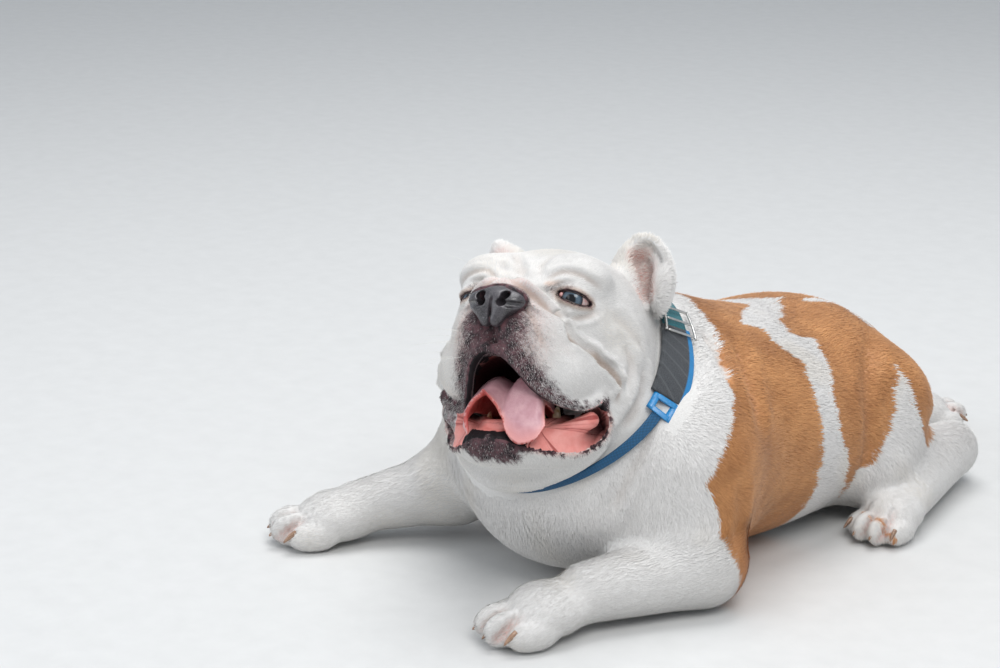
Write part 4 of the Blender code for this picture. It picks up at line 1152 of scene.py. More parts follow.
# darker and lighter tone of each finish
# white of the skin under the tufts, darker than the hair's white as painted shade of the coat over it
SKIN_WHITES_IN_COAT_SHADE = ((0.62, 0.605, 0.585), (0.70, 0.69, 0.67))
SKIN_TANS = ((0.40, 0.165, 0.060), (0.62, 0.30, 0.130))
# pink-brown of the ear's hollow, darkened as painted shade
SKIN_EAR_HOLLOW_SHADE = (0.30, 0.13, 0.10)
# brownish colour laid into the folds as painted shade
SKIN_CREASE_SHADE = (0.36, 0.24, 0.18)
NOSE_TONES = ((0.002, 0.002, 0.003), (0.045, 0.039, 0.046))
NOSE_PEBBLE = (0.066, 0.059, 0.066)
IRIS_RIM = (0.012, 0.016, 0.024)
PUPIL = (0.003, 0.003, 0.005)
# pink eye white, darkened as painted shade of the lids over it
SHADED_EYE_WHITES = ((0.50, 0.40, 0.38), (0.46, 0.21, 0.20))
EYE_RIMS = ((0.022, 0.011, 0.009), (0.080, 0.040, 0.034))
EYE_CORNERS = ((0.50, 0.18, 0.17), (0.72, 0.42, 0.38))
TONGUE_TOPS = ((0.46, 0.225, 0.255), (0.60, 0.35, 0.375))
TONGUE_EDGE = (0.66, 0.27, 0.25)
TONGUE_UNDERS = ((0.40, 0.045, 0.040), (0.58, 0.125, 0.105))
TEETH = ((0.74, 0.66, 0.48), (0.50, 0.36, 0.16))
CLAWS = ((0.115, 0.060, 0.035), (0.33, 0.19, 0.12))
CLAW_STREAK = (0.42, 0.27, 0.18)
QUILT_GREYS = ((0.016, 0.019, 0.023), (0.060, 0.066, 0.074))
QUILT_SEAM = (0.060, 0.066, 0.072)
METALS = ((0.48, 0.47, 0.45), (0.74, 0.73, 0.70))
WHISKERS = ((0.80, 0.79, 0.76), (0.62, 0.60, 0.56))
HAIR_TINTS = ((0.90, 0.89, 0.88), (1.0, 1.0, 1.0))
FLOOR_TONES = ((0.60, 0.60, 0.59), (0.64, 0.64, 0.63))


def toned(colour, times):
    """a colour made darker or lighter"""
    return tuple(min(1, c * times) for c in colour)


def skin_material(name, wet_coat=0.0, rough=0.62, gleam=0.28, nap=0.08):
    """skin and short fur: fine streaks along the body, pigment from the marks, wet lining inside, with
    painted shade in folds and the ear's hollow and painted shadow deep in the mouth
    """
    n = Nodes(name, rough=rough, Coat_Weight=wet_coat, Coat_Roughness=0.18, Sheen_Weight=nap,
              Specular_IOR_Level=gleam)
    tan, dark, pink, wet = n.split("marks")
    fold, deep, hollow, around = n.split("shade")
    streak = n.noise(1.0, 3.0, n.spot((900, 130, 900)))
    grain = n.noise(700, 2.0)
    broad = n.noise(26, 3.0)
    # skin white with painted shade of the coat
    white = n.mix(n.band(streak, 0.30, 0.75), *SKIN_WHITES_IN_COAT_SHADE)
    tans = n.mix(n.band(n.times(n.sum(streak, broad), 0.5), 0.38, 0.64), *SKIN_TANS)
    base = n.mix(tan, white, tans)
    base = n.mix(n.times(pink, n.band(grain, 0.25, 0.60)), base, FACE_PINK)
    # the ear's hollow: pink-brown skin with painted shade
    base = n.mix(n.times(hollow, 0.75), base, SKIN_EAR_HOLLOW_SHADE)
    # painted shade in the folds
    base = n.mix(n.times(fold, 0.60), base, SKIN_CREASE_SHADE)
    speckle = n.sum(n.times(dark, 1.30), n.noise(420, 3.0, rough=0.7))
    inked = n.mix(n.band(n.noise(150, 3.0), 0.40, 0.62), MAUVE_SKIN, DARK_SKIN)
    base = n.mix(n.band(speckle, 0.72, 1.40), base, inked)
    flesh = n.mix(n.band(n.noise(60, 4.0), 0.35, 0.68), LINING, LINING_PALE)
    # lines round the teeth on the lining, darkened as painted shade in its creases and sunk by the relief
    rays = n.pair(n.times(around, 34.0), n.noise(30, 2.0))
    crease = n.band(n.noise(1.0, 3.0, rays), 0.54, 0.62)
    flesh = n.mix(n.times(crease, 0.80), flesh, LINING_CREASE_SHADE)
    # painted shadow deep in the mouth
    flesh = n.mix(deep, flesh, LINING_MOUTH_SHADOW)
    black = n.band(n.sum(dark, n.times(n.noise(240, 2.0), 0.9)), 0.95, 1.10)
    flesh = n.mix(black, flesh, toned(DARK_SKIN, 0.6))
    colour = n.mix(n.band(wet, 0.35, 0.65), base, flesh)
    relief = n.sum(n.times(streak, 0.7), n.times(grain, 0.5))
    relief = n.sum(relief, n.times(n.times(crease, wet), -1.2))
    dull = n.add("ShaderNodeMapRange", {"Value": n.sum(black, deep, "MAXIMUM"), "To Min": rough,
                                        "To Max": 0.85}, clamp=True).outputs["Result"]
    return n.out(colour, dull, n.bump(relief, 0.0006, 0.8))


# operators, one for each piece or group of like pieces


class Settings(bpy.types.PropertyGroup):
    """Sizes and colours a user would change"""

    body_hair: bpy.props.FloatProperty(
        name="Body hair", description="Length of the hair on the body", default=0.0080,
        min=0.002, max=0.03, subtype="DISTANCE", unit="LENGTH")
    face_hair: bpy.props.FloatProperty(
        name="Face hair", description="Length of the hair on face and feet", default=0.0036,
        min=0.001, max=0.02, subtype="DISTANCE", unit="LENGTH")
    hair_width: bpy.props.FloatProperty(
        name="Tuft width", description="Width of a tuft of hair at its root", default=0.00065,
        min=0.0002, max=0.004, subtype="DISTANCE", unit="LENGTH")
    white: bpy.props.FloatVectorProperty(
        name="White hair", description="Colour of the white hair", default=WHITE,
        subtype="COLOR", min=0, max=1)
    tan: bpy.props.FloatVectorProperty(
        name="Tan hair", description="Colour of the tan hair", default=TAN,
        subtype="COLOR", min=0, max=1)
    iris: bpy.props.FloatVectorProperty(
        name="Iris", description="Colour of the iris", default=(0.085, 0.122, 0.160),
        subtype="COLOR", min=0, max=1)
    webbing: bpy.props.FloatVectorProperty(
        name="Strap", description="Colour of the flat strap over the nape",
        default=(0.012, 0.125, 0.150), subtype="COLOR", min=0, max=1)
    trim: bpy.props.FloatVectorProperty(
        name="Trim", description="Colour of the buckles, cord and edge of the collar",
        default=(0.006, 0.170, 0.400), subtype="COLOR", min=0, max=1)


FLESH_NODES = ("head", "jaw", "neck", "torso", "tail", "ear_left", "ear_right", "foreleg_left",
               "foreleg_right", "hindleg_left", "hindleg_right")


def cut_and_bridge(head, body):
    """joins the head's fine surface to the body's along two flat rims under the collar"""
    form = bmesh.new()
    form.from_mesh(body)
    cut = Vector(COLLAR_AXIS)
    p = points_of(body)
    near = (p[:, 2] > NECK_LOWEST) & (collar_angle(p)[1] < 0.19) & (np.abs(collar_height(p)) < 0.03)
    form.verts.ensure_lookup_table()
    neck = [form.verts[i] for i in np.flatnonzero(near)]
    held = set(neck)
    edges = [e for e in form.edges if e.verts[0] in held and e.verts[1] in held]
    faces = [f for f in form.faces if all(v in held for v in f.verts)]
    bmesh.ops.bisect_plane(form, geom=neck + edges + faces, dist=1e-6,
                           plane_co=Vector(COLLAR_AT - COLLAR_AXIS * CUT_GAP), plane_no=cut)
    above = [v for v in form.verts if v.co.z > NECK_LOWEST
             and (v.co - Vector(COLLAR_AT)).dot(cut) > 0.0001 - CUT_GAP]
    bmesh.ops.delete(form, geom=above, context="VERTS")
    top = bmesh.new()
    top.from_mesh(head)
    bmesh.ops.bisect_plane(top, geom=list(top.verts) + list(top.edges) + list(top.faces), dist=1e-6,
                           plane_co=Vector(COLLAR_AT), plane_no=cut, clear_inner=True)
    top.to_mesh(head)
    top.free()
    form.from_mesh(head)
    rims = [e for e in form.edges if len(e.link_faces) == 1]
    bmesh.ops.bridge_loops(form, edges=rims)
    left = sum(len(e.link_faces) == 1 for e in form.edges)
    form.to_mesh(body)
    form.free()
    if left:
        raise RuntimeError("the skin has %d open edges" % left)
    return body


def parted_lining(mesh, wet):
    """moves the faces whose corners are all wet into a mesh of their own"""
    form, lining = bmesh.new(), bmesh.new()
    form.from_mesh(mesh)
    lining.from_mesh(mesh)
    inside = [f for f in form.faces if all(wet[v.index] for v in f.verts)]
    keep = {f.index for f in inside}
    bmesh.ops.delete(lining, geom=[f for f in lining.faces if f.index not in keep], context="FACES")
    bmesh.ops.delete(form, geom=inside, context="FACES")
    form.to_mesh(mesh)
    form.free()
    inner = bpy.data.meshes.new("mouth_lining")
    lining.to_mesh(inner)
    lining.free()
    return inner


class BULLDOG_OT_skin(bpy.types.Operator):
    """One skin over all the flesh, with the wet lining of the mouth as a piece of its own"""

    bl_idname = "bulldog.skin"
    bl_label = "Skin"

    def execute(self, context):
        points, faces = surface_of(head_skin_field, *HEAD_ROOM, HEAD_CELL)
        points = settle(head_skin_field, points)
        head = mesh_object("head_skin", points, faces, place=False)
        points, faces = surface_of(skin_field, *BODY_ROOM, BODY_CELL)
        points = settle(skin_field, points)
        body = mesh_object("skin", points, faces, place=False)
        cut_and_bridge(head.data, body.data)
        bpy.data.objects.remove(head, do_unlink=True)
        spots = points_of(body.data)
        marks = marks_of(spots)
        attribute(body.data, "marks", marks)
        attribute(body.data, "shade", shade_of(spots))
        mesh = body.data
        inner = parted_lining(mesh, marks[:, 3] > 0.5)
        for part in (mesh, inner):
            part.transform(Matrix.Scale(SIZE, 4) @ Matrix.Translation(Vector(CENTRE_SHIFT)))
            part.polygons.foreach_set("use_smooth", np.full(len(part.polygons), True))
            part.update()
        mouth = bpy.data.objects.new("mouth_lining", inner)
        context.scene.collection.objects.link(mouth)
        mesh.materials.append(skin_material("coat_base"))
        inner.materials.append(skin_material("wet_lining", 0.07, 0.40, 0.15, 0.0))
        carry(body, FLESH_NODES)
        carry(mouth)
        return {"FINISHED"}


class BULLDOG_OT_nose(bpy.types.Operator):
    """Pebbled nose leather with open nostrils"""

    bl_idname = "bulldog.nose"
    bl_label = "Nose"

    def execute(self, context):
        centre = from_head(NOSE_AT + PULL * 0.6)
        points, faces = surface_of(nose_field, centre - NOSE_REACH, centre + NOSE_REACH, NOSE_CELL)
        points = settle(nose_field, points, 2, 0.0005)
        nose = mesh_object("nose_leather", points, faces)
        n = Nodes("nose_leather", rough=0.30, Coat_Weight=0.60, Coat_Roughness=0.17,
                  Specular_IOR_Level=0.5)
        pebble = n.cells(950)
        blotch = n.sum(n.noise(150, 4.0), n.noise(55, 2.0))
        colour = n.mix(n.band(blotch, 0.88, 1.14), *NOSE_TONES)
        colour = n.mix(n.band(pebble, 0.25, 0.85), colour, NOSE_PEBBLE)
        nose.data.materials.append(n.out(colour, None, n.bump(pebble, -0.0004, 0.9)))
        carry(nose)
        return {"FINISHED"}


def eye_material(iris):
    """threaded iris with a dark rim and pupil, by how far off the gaze a place is, and a pink white darkened
    as painted shade of the lids
    """
    n = Nodes("eye", rough=0.10, Coat_Weight=0.35, Coat_Roughness=0.02, Specular_IOR_Level=0.3)
    ring, _, around, _ = n.split("iris")
    thread = n.noise(9.0, 4.0, n.pair(n.times(around, 9.0), n.times(ring, 0.7)))
    blue = n.mix(n.band(thread, 0.32, 0.70), toned(iris, 0.5), toned(iris, 1.5))
    blue = n.mix(n.band(ring, 0.70, 0.97), blue, IRIS_RIM)
    blue = n.mix(n.band(ring, 0.50, 0.36), blue, PUPIL)
    white = n.mix(n.band(n.noise(500, 4.0), 0.40, 0.72), *SHADED_EYE_WHITES)
    return n.out(n.mix(n.band(ring, 1.0, 1.06), blue, white))


def eyeball(name, side):
    """ball as a grid of two angles, off the gaze and round it, 3 % larger over the cornea"""
    gaze = unit(np.array([0.10 * side, -1.0, -0.10]))
    polar = np.concatenate([np.linspace(0, 0.75, 26), np.linspace(IRIS_ANGLE, math.pi, 22)])
    turn = np.arange(EYE_SIDES) * 2 * math.pi / EYE_SIDES
    radius = (EYE_RADIUS - 0.0002) * (1 + 0.030 * step(polar, IRIS_ANGLE, 0.25))
    u = unit(np.cross(gaze, (0, 0, 1.0)))
    v = np.cross(u, gaze)
    around = np.cos(turn)[None, :, None] * u + np.sin(turn)[None, :, None] * v
    rings = np.cos(polar)[:, None, None] * gaze + np.sin(polar)[:, None, None] * around
    rings = rings * radius[:, None, None] + EYE_AT * np.array([side, 1, 1])
    thing = mesh_object(name, from_head(rings.reshape(-1, 3)), grid_faces(len(polar), EYE_SIDES, True))
    values = np.zeros((len(polar), EYE_SIDES, 4))
    values[..., 0] = (polar / IRIS_ANGLE)[:, None]
    values[..., 2] = (np.abs(turn - math.pi) / math.pi)[None]
    attribute(thing.data, "iris", np.clip(values.reshape(-1, 4), 0, 4))
    weld(thing)
    return thing


def lid_rim(edge, side):
    """thin rod along one lid's edge, thickest at its middle; the right eye's are drawn together"""
    narrow = 1.0 if side > 0 else SQUINT
    path = []
    for s, h in edge:
        level = 15 - (s + 70) * 0.21
        path.append(EYE_AT + (EYE_RADIUS + 0.0006) * eye_way(s, level + (h - level) * narrow))
    path = curve(np.array(path) * np.array([side, 1, 1]), 8)
    radii = LID_EDGE_RADIUS * (0.25 + 0.75 * np.sin(math.pi * np.linspace(0, 1, len(path))) ** 0.35)
    return from_head(tube(path, radii))


def eye_corner(side):
    """short rod of bare skin in the corner beside the nose, thickest at its middle"""
    path = np.array([EYE_AT + (EYE_RADIUS - 0.0006) * eye_way(s, h) for s, h in EYE_CORNER])
    path = curve(path * np.array([side, 1, 1]), 6)
    t = np.linspace(0, 1, len(path))
    return from_head(tube(path, EYE_CORNER_RADIUS * np.sin(math.pi * (0.06 + 0.9 * t)) ** 0.6, 10))


class BULLDOG_OT_eyes(bpy.types.Operator):
    """Eyeballs with a domed cornea, lid edges and the pink corner"""

    bl_idname = "bulldog.eyes"
    bl_label = "Eyes"

    def execute(self, context):
        material = eye_material(tuple(context.scene.bulldog.iris))
        for side, name in ((1, "eye_left"), (-1, "eye_right")):
            eye = eyeball(name, side)
            eye.data.materials.append(material)
            carry(eye, [name])
        lids = joined("eye_rims", [lid_rim(edge, side) for side in (1, -1)
                                   for edge in (LID_EDGE_UP, LID_EDGE_LOW)])
        n = Nodes("eye_rims", rough=0.28, Coat_Weight=0.4, Coat_Roughness=0.1)
        lids.data.materials.append(n.speckled(n.noise(800, 2.0), (0.35, 0.7), *EYE_RIMS, 0.0002))
        carry(lids)
        pinks = joined("eye_corners", [eye_corner(side) for side in (1, -1)])
        n = Nodes("eye_corner", rough=0.25, Coat_Weight=0.8, Coat_Roughness=0.05)
        pinks.data.materials.append(n.speckled(n.noise(700, 3.0), (0.3, 0.7), *EYE_CORNERS, 0.0002))
        carry(pinks)
        return {"FINISHED"}


TONGUE_ROWS = np.array((
    ((-22, -12, -100), (-18, -12, -94), (-12, -12, -90), (-6, -12, -89), (1, -12, -90), (7, -12, -89),
     (13, -12, -90), (18, -12, -94), (22, -12, -100)),
    ((-34, -45, -98), (-31, -45, -87), (-22, -45, -77), (-10, -45, -73), (2, -45, -77), (12, -45, -73),
     (21, -45, -75), (28, -45, -83), (32, -45, -95)),
    ((-37, -70, -98), (-35, -70, -84), (-27, -70, -71), (-13, -70, -64), (3, -70, -71), (12, -70, -64.5),
     (21, -70, -66), (28, -70, -74), (33, -70, -88)),
    ((-37, -90, -110), (-35, -90, -96), (-26, -91, -83), (-12, -92, -75), (1, -91, -83), (10, -91, -74),
     (22, -91, -74), (33, -90, -81), (39, -88, -95)),
    ((-27, -100, -121), (-32, -101, -105), (-23, -104, -88.5), (-9, -106, -85), (6, -104, -101),
     (11, -106, -116), (24, -108, -127), (39, -106, -122.5), (45, -98, -109)),
)) / MM
TONGUE_SPAN = (0.0, 0.30, 0.55, 0.78, 1.0)
# root, end and radius of the teeth that show on each side
TEETH_AT = (
    ((0.034, -0.048, -0.106), (0.033, -0.048, -0.086), 0.0050),
    ((0.026, -0.060, -0.110), (0.026, -0.061, -0.095), 0.0036),
)


def tongue_grid():
    """tongue as smooth curves through five named cross-sections, thickened below along its normals"""
    rows = np.array([curve(row, 11) for row in TONGUE_ROWS])
    count, across = rows.shape[:2]
    top = curve(rows.reshape(count, -1), 20).reshape(-1, across, 3)
    t = np.linspace(-1, 1, across)[None, :]
    s = np.interp(np.linspace(0, 1, len(top)), np.linspace(0, 1, count), TONGUE_SPAN)[:, None]
    normal = unit(np.cross(np.gradient(top, axis=1), np.gradient(top, axis=0)), 1e-12)
    normal = normal * np.sign(normal[20, across // 2, 2])
    ripple = 0.0005 * np.sin(s * 21 + t * 4) * (1 - t * t) - 0.0016 * np.exp(-(t / 0.045) ** 2)
    top = top + normal * ripple[..., None]
    point = np.exp(-((t + 0.30) / 0.05) ** 2) * step(s, 0.93, 1.0)
    top = top + point[..., None] * np.array([0.0, -0.0025, 0.0035])
    thick = 0.0040 + 0.0035 * np.sqrt(np.maximum(1 - t * t, 0)) * step(s, 0.95, 0.65)
    thick = thick * np.sqrt(np.maximum(1 - np.clip((s - 0.955) / 0.045, 0, 1) ** 2, 0.0))
    thick = thick * np.sqrt(np.maximum(1 - np.abs(t) ** 12, 0.0))
    under = top - normal * thick[..., None]
    return np.concatenate([top, under[:, ::-1]], axis=1), s, t


def tongue_piece():
    """tongue closed round and towards the throat, with side, edge and length stored for its material"""
    ring, s, t = tongue_grid()
    rows, columns = ring.shape[:2]
    throat = np.repeat(ring[:1].mean(1, keepdims=True), columns, 1)
    ring = np.concatenate([throat, ring])
    tongue = mesh_object("tongue", from_head(ring.reshape(-1, 3)), grid_faces(len(ring), columns, True))
    side = np.concatenate([np.tile(t, (rows, 1)), np.tile(t[:, ::-1], (rows, 1))], 1)
    top = np.concatenate([np.ones((rows, t.shape[1])), np.zeros((rows, t.shape[1]))], 1)
    marks = np.stack([top, np.abs(side), np.tile(s, (1, columns)), side * 0.5 + 0.5], -1)
    marks = np.concatenate([marks[:1], marks])
    attribute(tongue.data, "place", marks.reshape(-1, 4))
    weld(tongue, 0.00003)
    return tongue


def tongue_material():
    """pink above, redder below and along the edge, with fine buds"""
    n = Nodes("tongue", rough=0.36, Coat_Weight=0.35, Coat_Roughness=0.22)
    top, edge, along, _ = n.split("place")
    bud = n.cells(1500)
    soft = n.noise(90, 4.0)
    upper = n.mix(n.band(soft, 0.35, 0.65), *TONGUE_TOPS)
    border = n.sum(n.band(along, 0.93, 1.0), n.band(edge, 0.86, 1.0), "MAXIMUM")
    upper = n.mix(border, upper, TONGUE_EDGE)
    under = n.mix(n.band(soft, 0.35, 0.65), *TONGUE_UNDERS)
    colour = n.mix(n.band(top, 0.2, 0.8), under, upper)
    return n.out(colour, None, n.bump(n.sum(n.times(bud, 0.6), soft), 0.0005, 0.8))


def tooth(root, end, radius, side):
    """rod from root to end, bent back a little, its radius falling to a blunt point"""
    f = np.linspace(0, 1, 14)[:, None]
    path = (np.array(root) * (1 - f) + np.array(end) * f) * np.array([side, 1, 1])
    path = path + np.array([0.0, 0.0025, 0]) * np.sin(f * 1.4) ** 2
    radii = radius * np.sqrt(np.maximum(1 - (f[:, 0] * 0.99) ** 2.4, 0.0)) * 0.98 + TIP
    return from_head(tube(path, radii, 14, (1.0, 0.8)))


class BULLDOG_OT_mouth(bpy.types.Operator):
    """Tongue and the teeth that show beside it"""

    bl_idname = "bulldog.mouth"
    bl_label = "Tongue and teeth"

    def execute(self, context):
        tongue = tongue_piece()
        tongue.data.materials.append(tongue_material())
        carry(tongue, ["tongue"])
        teeth = joined("teeth", [tooth(*place, side) for side in (1, -1) for place in TEETH_AT])
        n = Nodes("teeth", rough=0.22, Coat_Weight=0.5, Coat_Roughness=0.08)
        ivory = n.mix(n.band(n.noise(260, 4.0), 0.35, 0.7), *TEETH)
        teeth.data.materials.append(n.out(ivory, None, n.bump(n.noise(1200), 0.0001)))
        carry(teeth)
        return {"FINISHED"}


def claw(name, x, y):
    """rod that bends down as the square of its length, its radius falling to a blunt point"""
    x0, y0, deg, size = PAWS[name]
    way = unit(np.array([x * 6, -0.86, -0.30]))
    t = np.linspace(0, 1, 15)[:, None]
    path = np.array([x, y - 0.012, 0.0215]) + way * t * (CLAW_LENGTH + 0.006)
    path = path - np.array([0, 0, 0.004]) * t * t
    path = path * size @ turn_z(deg).T + np.array([x0, y0, 0.0])
    radii = CLAW_RADIUS * size * (1 - 0.72 * t[:, 0] ** 1.3) * np.sqrt(
        np.maximum(1 - np.clip((t[:, 0] - 0.86) / 0.14, 0, 1) ** 2, 0.0)) + TIP
    return tube(path, radii, 12, (0.82, 1.0))


class BULLDOG_OT_claws(bpy.types.Operator):
    """Sixteen curved claws"""

    bl_idname = "bulldog.claws"
    bl_label = "Claws"

    def execute(self, context):
        claws = joined("claws", [claw(name, x, y) for name in PAWS for x, y in TOES])
        nodes = ["claw_%s_%d" % (name, toe + 1) for name in PAWS for toe in range(len(TOES))]
        n = Nodes("claw", rough=0.32, Coat_Weight=0.25, Coat_Roughness=0.15)
        lines = n.noise(1.0, 3.0, n.spot((1400, 160, 1400)))
        tone = n.noise(75, 3.0)
        colour = n.mix(n.band(tone, 0.35, 0.65), *CLAWS)
        colour = n.mix(n.band(lines, 0.4, 0.7), colour, CLAW_STREAK)
        claws.data.materials.append(n.out(colour, None, n.bump(lines, 0.0002, 0.7)))
        carry(claws, nodes)
        return {"FINISHED"}


def collar_rings(reach, start, end, profile, degrees=1.5):
    """profile of (height, depth) pairs carried round the neck between two angles"""
    count = max(3, int(round(abs(end - start) / degrees)) + 1)
    deg = np.linspace(start, end, count)
    a = np.radians(deg)
    out = np.sin(a)[:, None] * COLLAR_SIDE + np.cos(a)[:, None] * COLLAR_NAPE
    lower, upper = (reach_at(edge, deg % 360) for edge in reach)
    profile = np.asarray(profile, float)
    share = np.clip(profile[:, 0] / COLLAR_WIDTH + 0.5, 0, 1)
    r = lower[:, None] * (1 - share) + upper[:, None] * share + profile[:, 1]
    height = (profile[:, 0] + COLLAR_LIFT)[None, :, None]
    rings = COLLAR_AT + COLLAR_AXIS * height + out[:, None] * r[..., None]
    arc = np.radians(deg - start)[:, None] * COLLAR_MEAN_REACH + 0 * r
    place = np.stack([arc, profile[:, 0][None] + 0 * r, profile[:, 1][None] + 0 * r, 0 * r + 1], -1)
    return rings, place


def rounded(low, high, inner, outer, corner, steps=4):
    """outline of a flat band with round corners, as (height, depth) pairs"""
    out = []
    for h, d, first in ((high - corner, outer - corner, 0), (low + corner, outer - corner, 90),
                        (low + corner, inner + corner, 180), (high - corner, inner + corner, 270)):
        for i in range(steps + 1):
            a = math.radians(first + 90 * i / steps)
            out.append((h + corner * math.cos(a), d + corner * math.sin(a)))
    return np.array(out)


def band_piece(name, slot, material, rings, place):
    """closed band that stands for the CAD node of its name: rings with both ends drawn to their middle"""
    rings = capped(rings)
    place = np.concatenate([place[:1], place, place[-1:]])
    thing = mesh_object(name, rings.reshape(-1, 3), grid_faces(len(rings), rings.shape[1], True))
    attribute(thing.data, "cloth", place.reshape(-1, 4))
    weld(thing)
    thing.data.materials.append(material)
    carry(thing, [name])


def webbing(name, dark, light, rough=0.75):
    """woven strap: ribs across it and threads along it, from the place stored on the piece"""
    n = Nodes(name, rough=rough, Sheen_Weight=0.15)
    arc, height = n.split("cloth")[:2]
    weave = n.times(n.sine(height, WEAVE_PITCH), n.sine(arc, WEAVE_PITCH))
    fuzz = n.noise(1500, 2.0)
    share = n.band(n.sum(weave, fuzz), -0.4, 1.3)
    return n.out(n.mix(share, dark, light), None, n.bump(n.sum(weave, fuzz), 0.0003, 0.8))


def collar_bar(reach, deg, low, high, depth, radius):
    """round bar across the strap at one angle"""
    heights = np.linspace(low, high, 9)
    path = np.array([collar_rings(reach, deg, deg + 0.01, [(h, depth)])[0][0, 0] for h in heights])
    radii = np.full(len(path), radius)
    radii[0] = radii[-1] = TIP
    return tube(path, radii, 10, up=tuple(COLLAR_SIDE * 0.7 + COLLAR_NAPE * 0.3))


def quilted_webbing(trim):
    """grey band with slanting seams, fine threads across and a coloured lower edge"""
    n = Nodes("grey_webbing", rough=0.7, Sheen_Weight=0.1)
    arc, height = n.split("cloth")[:2]
    quilt = n.sine(n.sum(arc, height), QUILT_PITCH)
    thread = n.sine(arc, THREAD_PITCH)
    fuzz = n.noise(1300, 2.0)
    grey = n.mix(n.band(fuzz, 0.3, 0.7), *QUILT_GREYS)
    grey = n.mix(n.band(quilt, 0.86, 0.97), grey, QUILT_SEAM)
    grey = n.mix(n.band(height, -COLLAR_HALF + 0.0046, -COLLAR_HALF + 0.0038), grey, trim)
    relief = n.sum(n.times(quilt, 1.3), n.times(thread, 0.2))
    return n.out(grey, None, n.bump(relief, 0.0006, 0.8))


def buckle_rings(reach, start, end):
    """plastic loop of four flat bars: two along the strap and two across it"""
    grids = []
    near, far = COLLAR_HALF - 0.007, COLLAR_HALF - 0.003
    for low, high in ((-far, -near), (near, far)):
        outline = rounded(low, high, 0.0, COLLAR_THICK + 0.001, 0.0012)
        grids.append(collar_rings(reach, start, end, outline)[0])
    outline = rounded(-COLLAR_HALF + 0.005, COLLAR_HALF - 0.005, 0.0003, COLLAR_THICK + 0.0016, 0.0013)
    for first, last in ((start, start + BUCKLE_RIM), (end - BUCKLE_RIM, end)):
        grids.append(collar_rings(reach, first, last, outline, 0.5)[0])
    return [capped(rings) for rings in grids]


def slide_rings(reach):
    """metal slide of round wire: three bars across the strap and a rail along each edge"""
    low, high, depth = -COLLAR_HALF - 0.001, COLLAR_HALF + 0.001, COLLAR_THICK + 0.0040
    grids = [collar_bar(reach, deg, low, high, depth, SLIDE_WIRE) for deg in SLIDE_BARS]
    for height in (low, high):
        profile = [(height + SLIDE_WIRE * math.cos(a), depth + SLIDE_WIRE * math.sin(a))
                   for a in np.arange(10) * 2 * math.pi / 10]
        grids.append(capped(collar_rings(reach, *SLIDE_SPAN, profile, 1.0)[0]))
    return grids


class BULLDOG_OT_collar(bpy.types.Operator):
    """Strap, quilted bands, metal slide, buckles and cord of the collar"""

    bl_idname = "bulldog.collar"
    bl_label = "Collar"

    def execute(self, context):
        teal = tuple(context.scene.bulldog.webbing)
        blue = tuple(context.scene.bulldog.trim)
        reach = collar_reach()
        strap = webbing("teal_webbing", toned(teal, 0.55), toned(teal, 1.7))
        outline = rounded(-COLLAR_HALF + 0.002, COLLAR_HALF - 0.002, 0.0, COLLAR_THICK, 0.0008)
        band_piece("collar_strap", "teal_webbing", strap, *collar_rings(reach, *STRAP_SPAN, outline))
        quilted = quilted_webbing(blue)
        outline = rounded(-COLLAR_HALF, COLLAR_HALF, 0.0, COLLAR_THICK + 0.001, 0.0014)
        for name, span in BAND_SPANS.items():
            band_piece(name, "grey_webbing", quilted, *collar_rings(reach, *span, outline))
        n = Nodes("blue_plastic", rough=0.30, Coat_Weight=0.3, Coat_Roughness=0.12)
        worn = tuple(min(1, c * 1.35 + 0.01) for c in blue)
        plastic = n.speckled(n.noise(420, 3.0), (0.35, 0.75), blue, worn, strength=0.5)
        for name, span in BUCKLE_SPANS.items():
            buckle = joined(name, buckle_rings(reach, *span))
            buckle.data.materials.append(plastic)
            carry(buckle, [name])
        cord = webbing("cord_weave", toned(blue, 0.12), toned(blue, 0.75), rough=0.6)
        outline = rounded(-CORD_WIDTH * 0.36, CORD_WIDTH * 0.36, 0.0, COLLAR_THICK, 0.0012)
        band_piece("collar_cord", "blue_plastic", cord, *collar_rings(reach, *CORD_SPAN, outline))
        n = Nodes("metal", rough=0.28, Metallic=1.0)
        brush = n.noise(1.0, 3.0, n.spot((300, 300, 2600)))
        slide = joined("collar_slide", slide_rings(reach))
        slide.data.materials.append(n.speckled(brush, (0.3, 0.7), *METALS, strength=0.5))
        carry(slide, ["collar_slide"])
        return {"FINISHED"}


# root and length of the whiskers of each side: nine on the flews, two over the eye, one on the cheek
WHISKER_ROOTS = [((0.040 + 0.006 * i, -0.102, -0.030 - 0.011 * k), 0.034) for i in range(3) for k in range(3)]
WHISKER_ROOTS += [((0.040, -0.070, 0.034), 0.024), ((0.048, -0.066, 0.036), 0.028),
                  ((0.080, -0.010, -0.040), 0.026)]
WHISKER_RADIUS = 0.00016


